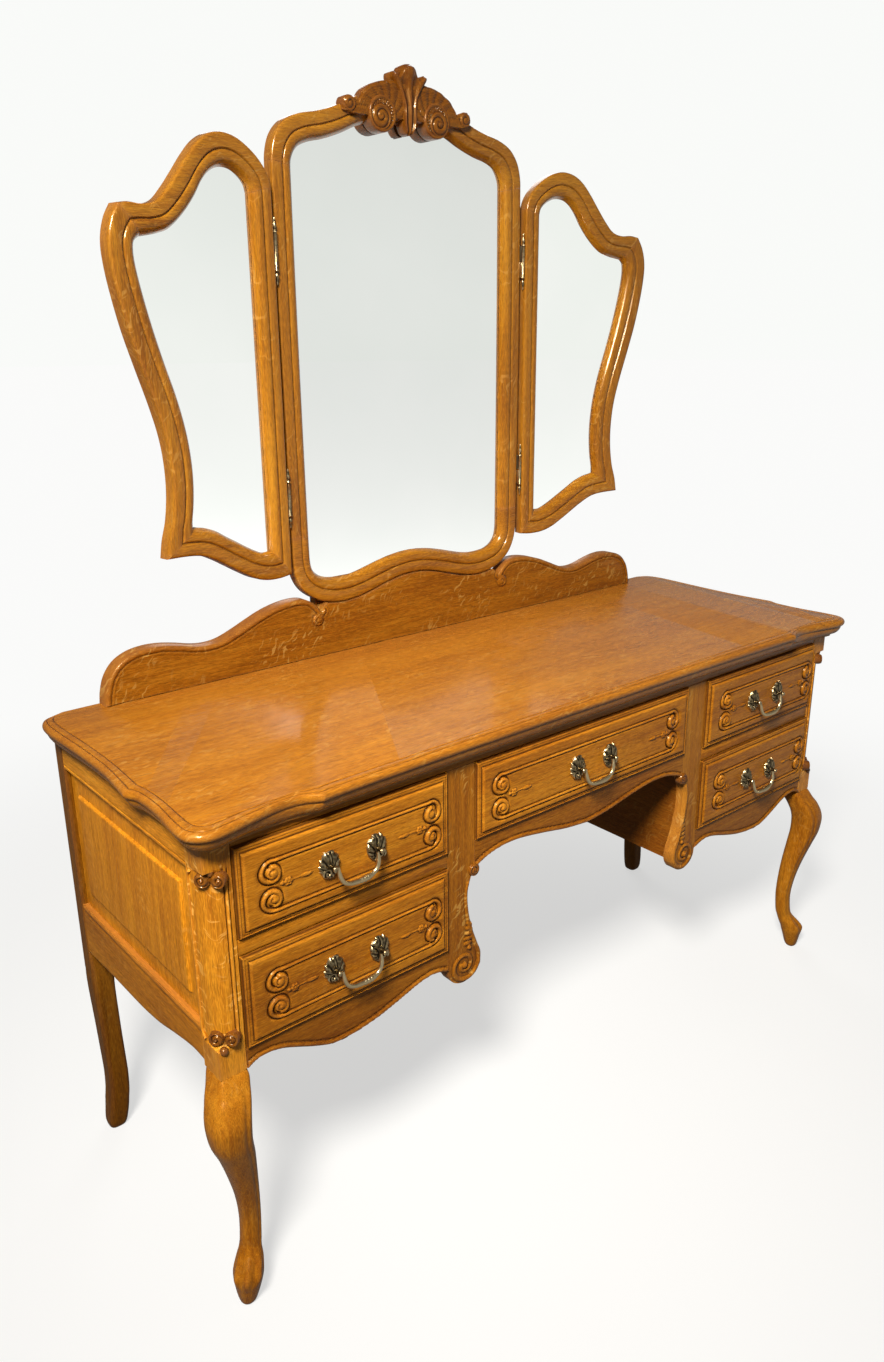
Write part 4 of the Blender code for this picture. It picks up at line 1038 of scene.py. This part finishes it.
WING = [  # the same for a wing, measured from its hinge
    (0.0036, 0.9190, 0.0405, 0.9640, True), (0.0290, 0.9165, 0.0560, 0.9640), (0.0550, 0.9180, 0.0710, 0.9700),
    (0.0800, 0.9250, 0.0890, 0.9795), (0.1050, 0.9380, 0.1070, 0.9900), (0.1320, 0.9540, 0.1270, 1.0015),
    (0.1580, 0.9690, 0.1470, 1.0135), (0.1840, 0.9805, 0.1670, 1.0215), (0.2100, 0.9845, 0.1810, 1.0245),
    (0.2500, 0.9860, 0.1915, 1.0270, True), (0.2450, 1.0120, 0.1912, 1.0410), (0.2355, 1.0420, 0.1872, 1.0640),
    (0.2292, 1.0820, 0.1845, 1.0950), (0.2285, 1.1240, 0.1848, 1.1300), (0.2335, 1.1670, 0.1900, 1.1740),
    (0.2455, 1.2130, 0.2015, 1.2230), (0.2650, 1.2730, 0.2190, 1.2770), (0.2800, 1.3220, 0.2335, 1.3265),
    (0.2925, 1.3780, 0.2462, 1.3780), (0.2980, 1.4200, 0.2525, 1.4140), (0.2965, 1.4450, 0.2520, 1.4330),
    (0.2890, 1.4680, 0.2475, 1.4400), (0.2780, 1.4855, 0.2410, 1.4445, True), (0.2600, 1.4880, 0.2290, 1.4465),
    (0.2370, 1.4870, 0.2120, 1.4500), (0.2140, 1.4930, 0.1900, 1.4575), (0.1940, 1.5110, 0.1650, 1.4770),
    (0.1740, 1.5340, 0.1440, 1.5000), (0.1540, 1.5580, 0.1285, 1.5225), (0.1350, 1.5770, 0.1150, 1.5365),
    (0.1150, 1.5885, 0.1015, 1.5445), (0.0920, 1.5930, 0.0880, 1.5475), (0.0680, 1.5895, 0.0750, 1.5465),
    (0.0460, 1.5790, 0.0630, 1.5420), (0.0260, 1.5640, 0.0520, 1.5350), (0.0110, 1.5460, 0.0435, 1.5260),
    (0.0036, 1.5260, 0.0405, 1.5160, True)]
SECTION = [  # share of the way from the outer to the inner outline, and depth behind the front
    (0.0, FRAME_T), (0.0, 0.0050), (0.012, 0.0028), (0.035, 0.0012), (0.07, 0.0003), (0.11, 0.0), (0.43, 0.0),
    (0.455, 0.0004), (0.475, 0.0016), (0.495, 0.0026), (0.515, 0.0026), (0.532, 0.0014), (0.555, 0.0005),
    (0.60, 0.0001), (0.68, 0.0001), (0.75, 0.0007), (0.82, 0.0022), (0.88, 0.0045), (0.93, 0.0075),
    (0.965, 0.0105), (0.985, 0.0126), (1.0, 0.0142), (0.985, 0.0150), (0.90, 0.0152), (0.90, FRAME_T)]


def frame_member(name, pairs, front, side, body, at, stands_for="", gap=0.00012):
    """One rail or stile: the moulded section swept along its stretch of the outline, with closed ends."""
    rings = []
    for outer_x, outer_z, inner_x, inner_z in pairs:
        rings.append([(side * (outer_x + (inner_x - outer_x) * share), front + depth,
                       outer_z + (inner_z - outer_z) * share) for share, depth in SECTION])
    rings = np.array(rings)
    for end, nxt in ((0, 1), (-1, -2)):
        pull = rings[nxt].mean(0) - rings[end].mean(0)
        rings[end] += pull / np.linalg.norm(pull) * gap
    grain = "x" if "rail" in name else "z"
    piece(name, *skin(rings), OAK_FRAME, body, grain, stands_for, sharp=40, at=at)


def backing(outline, front):
    """The thin flat board behind a glass."""
    return carved(outline, lambda p: np.zeros(len(p)), front + 0.0190, front + 0.0218, 0.05)


def make_centre_frame():
    """The outline starts where the left stile meets the top rail, and is cut into its four members."""
    half = curve_through(CENTRE_HALF, 0.006)
    ring = mirrored(half)
    place = Matrix.Translation((0, SHIFT_Y, 0))
    in_top = ring[:, 1] > RAIL_JOINTS[1]
    start = next(i for i in range(len(ring)) if in_top[i] and not in_top[i - 1])
    ring = np.roll(ring, -start, 0)
    storey = np.digitize(ring[:, 1], RAIL_JOINTS, right=True)
    cuts = [0, *(np.flatnonzero(np.diff(storey)) + 1), len(ring)]
    ring = np.concatenate([ring, ring[:1]])
    for k, name in enumerate(("top_rail", "stile_right", "bottom_rail", "stile_left")):
        frame_member(f"centre_{name}", ring[cuts[k]:cuts[k + 1] + 1], MIRROR_Y, 1, "carcass", place,
                     "centre_frame" if k == 0 else "")
    board = backing(mirrored(between(half, BACKING_EDGE)), MIRROR_Y)
    piece("centre_backing", *board, INNER, "carcass", "z", slot="inner_wood")


def make_wing(tag, side):
    pairs = curve_through(WING, 0.006, closed=True)
    at = Matrix.Translation((side * PIVOT[0], PIVOT[1], 0)) @ Matrix.Rotation(-side * WING_REST, 4, "Z")
    cuts = [int(np.hypot(*(pairs[:, :2] - corner).T).argmin()) for corner in WING_CORNERS] + [len(pairs)]
    loop = np.concatenate([pairs, pairs[:1]])
    for k, name in enumerate(("bottom_rail", "outer_stile", "top_rail", "inner_stile")):
        frame_member(f"wing_{name}_{tag}", loop[cuts[k]:cuts[k + 1] + 1], WING_FRONT, side, f"wing_{tag}", at,
                     f"wing_frame_{tag}" if k == 0 else "")
    board = backing(between(pairs, BACKING_EDGE) * (side, 1), WING_FRONT)
    piece(f"wing_backing_{tag}", *board, INNER, f"wing_{tag}", "z", slot="inner_wood", at=at)


# ---------------------------------------------------------------- crest
CREST = [(0.1325, 1.6480), (0.1335, 1.6590), (0.1290, 1.6675), (0.1200, 1.6695), (0.1120, 1.6670),
         (0.1040, 1.6640, True), (0.0985, 1.6720), (0.0900, 1.6820), (0.0770, 1.6900), (0.0600, 1.6960),
         (0.0440, 1.6990), (0.0300, 1.7000), (0.0, 1.7000)]
PLUME = [(0, 1.6220), (0.0080, 1.6255), (0.0135, 1.6360), (0.0140, 1.6500), (0.0135, 1.6650), (0.0180, 1.6800),
         (0.0285, 1.6930), (0.0375, 1.7030), (0.0370, 1.7110), (0.0300, 1.7135), (0.0225, 1.7080, True),
         (0.0180, 1.7150), (0.0150, 1.7215), (0.0075, 1.7262), (0, 1.7270)]


CREST_FOOT = np.array([(0.0850, 1.6440), (0.1150, 1.6440)])
DISC_R, DISC_EYE, DISC_AT = 0.0275, (0.0035, -0.0050), (0.0570, 1.6490)
PLUME_WIDTH = [(1.622, 0.006), (1.640, 0.0135), (1.665, 0.0140), (1.690, 0.0240), (1.71, 0.036), (1.727, 0.038)]


def crest_disc(p):
    """A scroll inside a rim of short leaves."""
    inner, inside = disc_relief(p, DISC_EYE, 0.0200, 1.9, -1, 60, 0.0030, 0.0022)
    r = np.hypot(*p.T)
    angle = np.arctan2(p[:, 1], p[:, 0])
    leaf = 0.0012 * abs(np.sin(angle * 14)) * smooth(0.012, 0.02, r)
    leaf = leaf + 0.0010 * np.sin(p[:, 0] * 2200) * np.sin(p[:, 1] * 2200)
    outer = np.maximum(leaf, bead(r - 0.0245, 0.0030, 0.0022)) - 0.0028 * smooth(0.0262, DISC_R, r)
    from_eye = np.hypot(*(p - DISC_EYE).T)
    return np.where(inside, np.maximum(inner, outer * smooth(0.016, 0.020, from_eye)), outer)


def make_crest():
    half = curve_through(CREST, 0.003)
    outline = np.concatenate([both_halves(half), CREST_FOOT[::-1] * (-1, 1), CREST_FOOT])

    def base(p):
        q = folded(p)
        curl, inside = disc_relief(q, (0.1215, 1.6580), 0.0120, 1.5, -1, 120, 0.0024, 0.0018)
        reach = np.hypot(q[:, 0] - 0.050, q[:, 1] - 1.640)
        angle = np.arctan2(q[:, 1] - 1.640, q[:, 0] - 0.050)
        leaf = 0.0016 * abs(np.sin(angle * 9 + reach * 60)) + 0.0012 * abs(np.sin(reach * 900 + angle * 5))
        gap, _ = near(q, half)
        leaf = leaf - 0.0030 * (1 - smooth(0, 0.005, gap))
        return np.where(inside, curl + 0.0010, leaf)

    board = carved(outline, base, MIRROR_Y - 0.0062, MIRROR_Y + 0.0125, 0.0015)
    piece("crest_leaves", *board, OAK_DARK, "carcass", "x", sharp=60)
    a = ring_angles(90)
    disc = carved(DISC_R * np.stack([np.cos(a), np.sin(a)], 1), crest_disc, 0, 0.0230, 0.0010)
    for tag, side in SIDES:
        at = Matrix.Translation((side * DISC_AT[0], SHIFT_Y + MIRROR_Y - 0.0090, DISC_AT[1]))
        piece(f"crest_scroll_{tag}", *scaled(disc, side, 1, 1), OAK_DARK, "carcass", "x", sharp=60, at=at)
    outline = mirrored(curve_through(PLUME, 0.002))

    def plume(p):
        spread = np.abs(p[:, 0]) / np.interp(p[:, 1], *zip(*PLUME_WIDTH))
        ribs = np.cos(spread * math.pi * 2.5) * 0.0022
        gap, _ = near(p, outline, closed=True)
        roll = 0.0050 * smooth(1.690, 1.716, p[:, 1]) * smooth(0, 0.006, gap)
        swell = 0.0030 * np.sin(np.clip((p[:, 1] - 1.622) / 0.08, 0, 1) * math.pi)
        return ribs + swell + roll - 0.0040 * (1 - smooth(0, 0.0045, gap))

    board = carved(outline, plume, MIRROR_Y - 0.0085, MIRROR_Y + 0.0120, 0.0011)
    piece("crest_plume", *board, OAK_DARK, "carcass", "z", sharp=60)


# ---------------------------------------------------------------- hinges
BARREL = [  # radius and height from where the two leaves meet, up to the tip of the finial
    (0.0029, 0.0004), (0.0029, 0.0270), (0.0033, 0.0276), (0.0033, 0.0288), (0.0022, 0.0300), (0.0015, 0.0318),
    (0.0017, 0.0330), (0.0026, 0.0352), (0.0028, 0.0372), (0.0024, 0.0395), (0.0015, 0.0425), (0.0012, 0.0450),
    (0.0014, 0.0465), (0.0010, 0.0488), (0.0003, 0.0499)]


def make_hinge(tag, side, level):
    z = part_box(f"hinge_fixed_{tag}_{level}")[1].z + 0.0004
    for kind, up, body, angle, leaf_x in (("fixed", -1, "carcass", 0.0, (-0.0031, -0.0018)),
                                          ("moving", 1, f"wing_{tag}", -side * WING_REST, (0.0020, 0.0033))):
        barrel = scaled(lathe(BARREL, 20), 1, 1, up)
        leaf = block(*ordered(side, *leaf_x), 0.0004, 0.0175, *ordered(up, 0.0010, 0.0275), 0.0003)
        at = Matrix.Translation((side * PIVOT[0], PIVOT[1], z)) @ Matrix.Rotation(angle, 4, "Z")
        piece(f"hinge_{kind}_barrel_{tag}_{level}", *merge(barrel, leaf), BRASS, body, "z",
              f"hinge_{kind}_{tag}_{level}", sharp=50, slot="brass", at=at)


# ---------------------------------------------------------------- the whole table
make_top()
for tag, side in SIDES:
    make_post(tag, side)
    make_legs(tag, side)
    make_side(tag, side)
make_front()
for tag in ("left_upper", "left_lower", "right_upper", "right_lower"):
    make_drawer(tag, 0.0421, 0.0235, 0.0110, 0.0040 if "left" in tag else 0.0)
make_drawer("centre", 0.0480, 0.0250, 0.0, 0.0)
make_backboard()
make_centre_frame()
make_crest()
for tag, side in SIDES:
    make_wing(tag, side)
    for level in ("lower", "upper"):
        make_hinge(tag, side, level)


def dress(name, material):
    mesh = NODES[name].data
    mesh.materials.clear()
    mesh.materials.append(material)


INNER_X = oak("back_boards", tone=0.50, red=0.5, rough=0.55, coat=0.0, flecks=0.2, turn=(0, 0, 0))
INNER_Y = oak("inner_boards", tone=0.42, red=0.6, rough=0.5, coat=0.05, flecks=0.2, turn=(0, 0, math.pi / 2))
for name in ("centre_glass", "wing_glass_left", "wing_glass_right"):
    dress(name, MIRROR if name == "centre_glass" else WING_MIRROR)
for name in ("back_panel", "mirror_support"):
    dress(name, INNER_X)
for name in ("inner_side_left", "inner_side_right"):
    dress(name, INNER_Y)


# ---------------------------------------------------------------- studio
BACKDROP = 0.96                   # how white the backdrop shows
AMBIENT = 0.15                    # how strongly the surroundings light the piece
VARNISH = 0.40                    # share of the surroundings that satin surfaces see
GLOSS = (0.30, 0.92)              # what polished faces see, from behind the table to in front of it
LAMPS = [  # name, place, aimed at, size, spread, power, colour
    ("key", (-1.8, -1.35, 2.7), (-0.12, -0.1, 0.82), 0.7, 75, 34, (1.0, 0.96, 0.90)),
    ("window", (1.4, 2.2, 2.6), (0, 0, 0.8), 1.6, 180, 16, (0.97, 0.98, 1.0))]


def satin_share(tree, paths):
    """1 for what the mirrors reflect, less for everything else that shines."""
    return grey_ramp(tree, paths.outputs["Is Singular Ray"], 0.0, 1.0, VARNISH, 1.0)


def pale_floor():
    """A pale floor that brightens evenly into the white backdrop, and throws little light back up."""
    mat, tree, shader = new_material("floor_paint")
    shader.inputs["Roughness"].default_value = 0.8
    paths = node(tree, "ShaderNodeLightPath")
    seen = paths.outputs["Is Camera Ray"]
    colour = blend_colour(tree, seen, (0.10, 0.085, 0.07, 1), (0.86, 0.86, 0.85, 1))
    tree.links.new(colour, shader.inputs["Base Color"])
    place = object_place(tree)
    out = vector_maths(tree, "LENGTH", place, output="Value")
    share = grey_ramp(tree, out, 0.4, 2.4, 0.60, 1.0, "SMOOTHSTEP")
    close = maths(tree, "DIVIDE", 1.0, maths(tree, "MAXIMUM", out, 3.0))
    front = maths(tree, "ADD", GLOSS[1], times(tree, times(tree, close, close), 3.8))
    depth = node(tree, "ShaderNodeSeparateXYZ", {0: place}).outputs["Y"]
    mirrored_floor = blend_value(tree, grey_ramp(tree, depth, 0.3, -0.8), GLOSS[0], front)
    mirrored_floor = times(tree, mirrored_floor, satin_share(tree, paths))
    polished = blend_value(tree, paths.outputs["Is Glossy Ray"], BACKDROP, mirrored_floor)
    strength = maths(tree, "SUBTRACT", polished, times(tree, paths.outputs["Is Diffuse Ray"], 0.86))
    glow = node(tree, "ShaderNodeEmission", {0: (1.0, 1.0, 0.99, 1), 1: strength})
    mixed = node(tree, "ShaderNodeMixShader", {0: share, 1: shader.outputs[0], 2: glow.outputs[0]})
    tree.links.new(mixed.outputs[0], tree.nodes["Material Output"].inputs[0])
    return mat


def make_studio():
    bpy.ops.mesh.primitive_circle_add(vertices=96, radius=40, fill_type="NGON", location=(0, 0, 0))
    floor = bpy.context.object
    floor.name = "floor"
    floor.data.materials.append(pale_floor())
    world = bpy.data.worlds.new("studio")
    bpy.context.scene.world = world
    world.use_nodes = True
    tree = world.node_tree
    back = tree.nodes["Background"]
    paths = node(tree, "ShaderNodeLightPath")
    aim = node(tree, "ShaderNodeTexCoord").outputs["Generated"]
    ahead = vector_maths(tree, "DOT_PRODUCT", aim, (0.25, -1, -0.9), output="Value")
    right = vector_maths(tree, "DOT_PRODUCT", aim, (0.96, 0.29, 0), output="Value")
    wall = grey_ramp(tree, right, 0.82, 0.94, 0.0, 0.60)
    seen = maths(tree, "ADD", grey_ramp(tree, ahead, -0.3, 0.9, *GLOSS), wall)
    seen = times(tree, seen, satin_share(tree, paths))
    level = blend_value(tree, paths.outputs["Is Glossy Ray"], AMBIENT, seen)
    level = blend_value(tree, paths.outputs["Is Camera Ray"], level, BACKDROP)
    tree.links.new(level, back.inputs["Strength"])
    back.inputs["Color"].default_value = (0.99, 1.0, 0.98, 1)
    for name, place, target, size, spread, power, colour in LAMPS:
        data = bpy.data.lights.new(name, "AREA")
        data.shape = "DISK"
        data.size = size
        data.spread = math.radians(spread)
        data.energy = power
        data.color = colour
        lamp = bpy.data.objects.new(name, data)
        bpy.context.scene.collection.objects.link(lamp)
        lamp.location = place
        lamp.rotation_euler = (Vector(target) - Vector(place)).to_track_quat("-Z", "Y").to_euler()


def make_camera():
    """The view from the front left, a little above the mirror's middle."""
    data = bpy.data.cameras.new("camera")
    data.sensor_width = 36
    data.lens = 27.43
    data.shift_y = -0.0053
    camera = bpy.data.objects.new("camera", data)
    bpy.context.scene.collection.objects.link(camera)
    # the turn from the world's axes to the view's right, down and ahead, as an axis times an angle
    spin = Vector((1.805, -0.6624, 0.4654))
    turn = Matrix.Rotation(spin.length, 3, spin.normalized()).transposed()
    look = Matrix((turn.col[0], -turn.col[1], -turn.col[2])).transposed().to_4x4()
    camera.matrix_world = Matrix.Translation((-1.195, -1.0463 + SHIFT_Y, 1.3243)) @ look
    bpy.context.scene.camera = camera
    bpy.context.scene.view_settings.view_transform = "Standard"


make_studio()
make_camera()
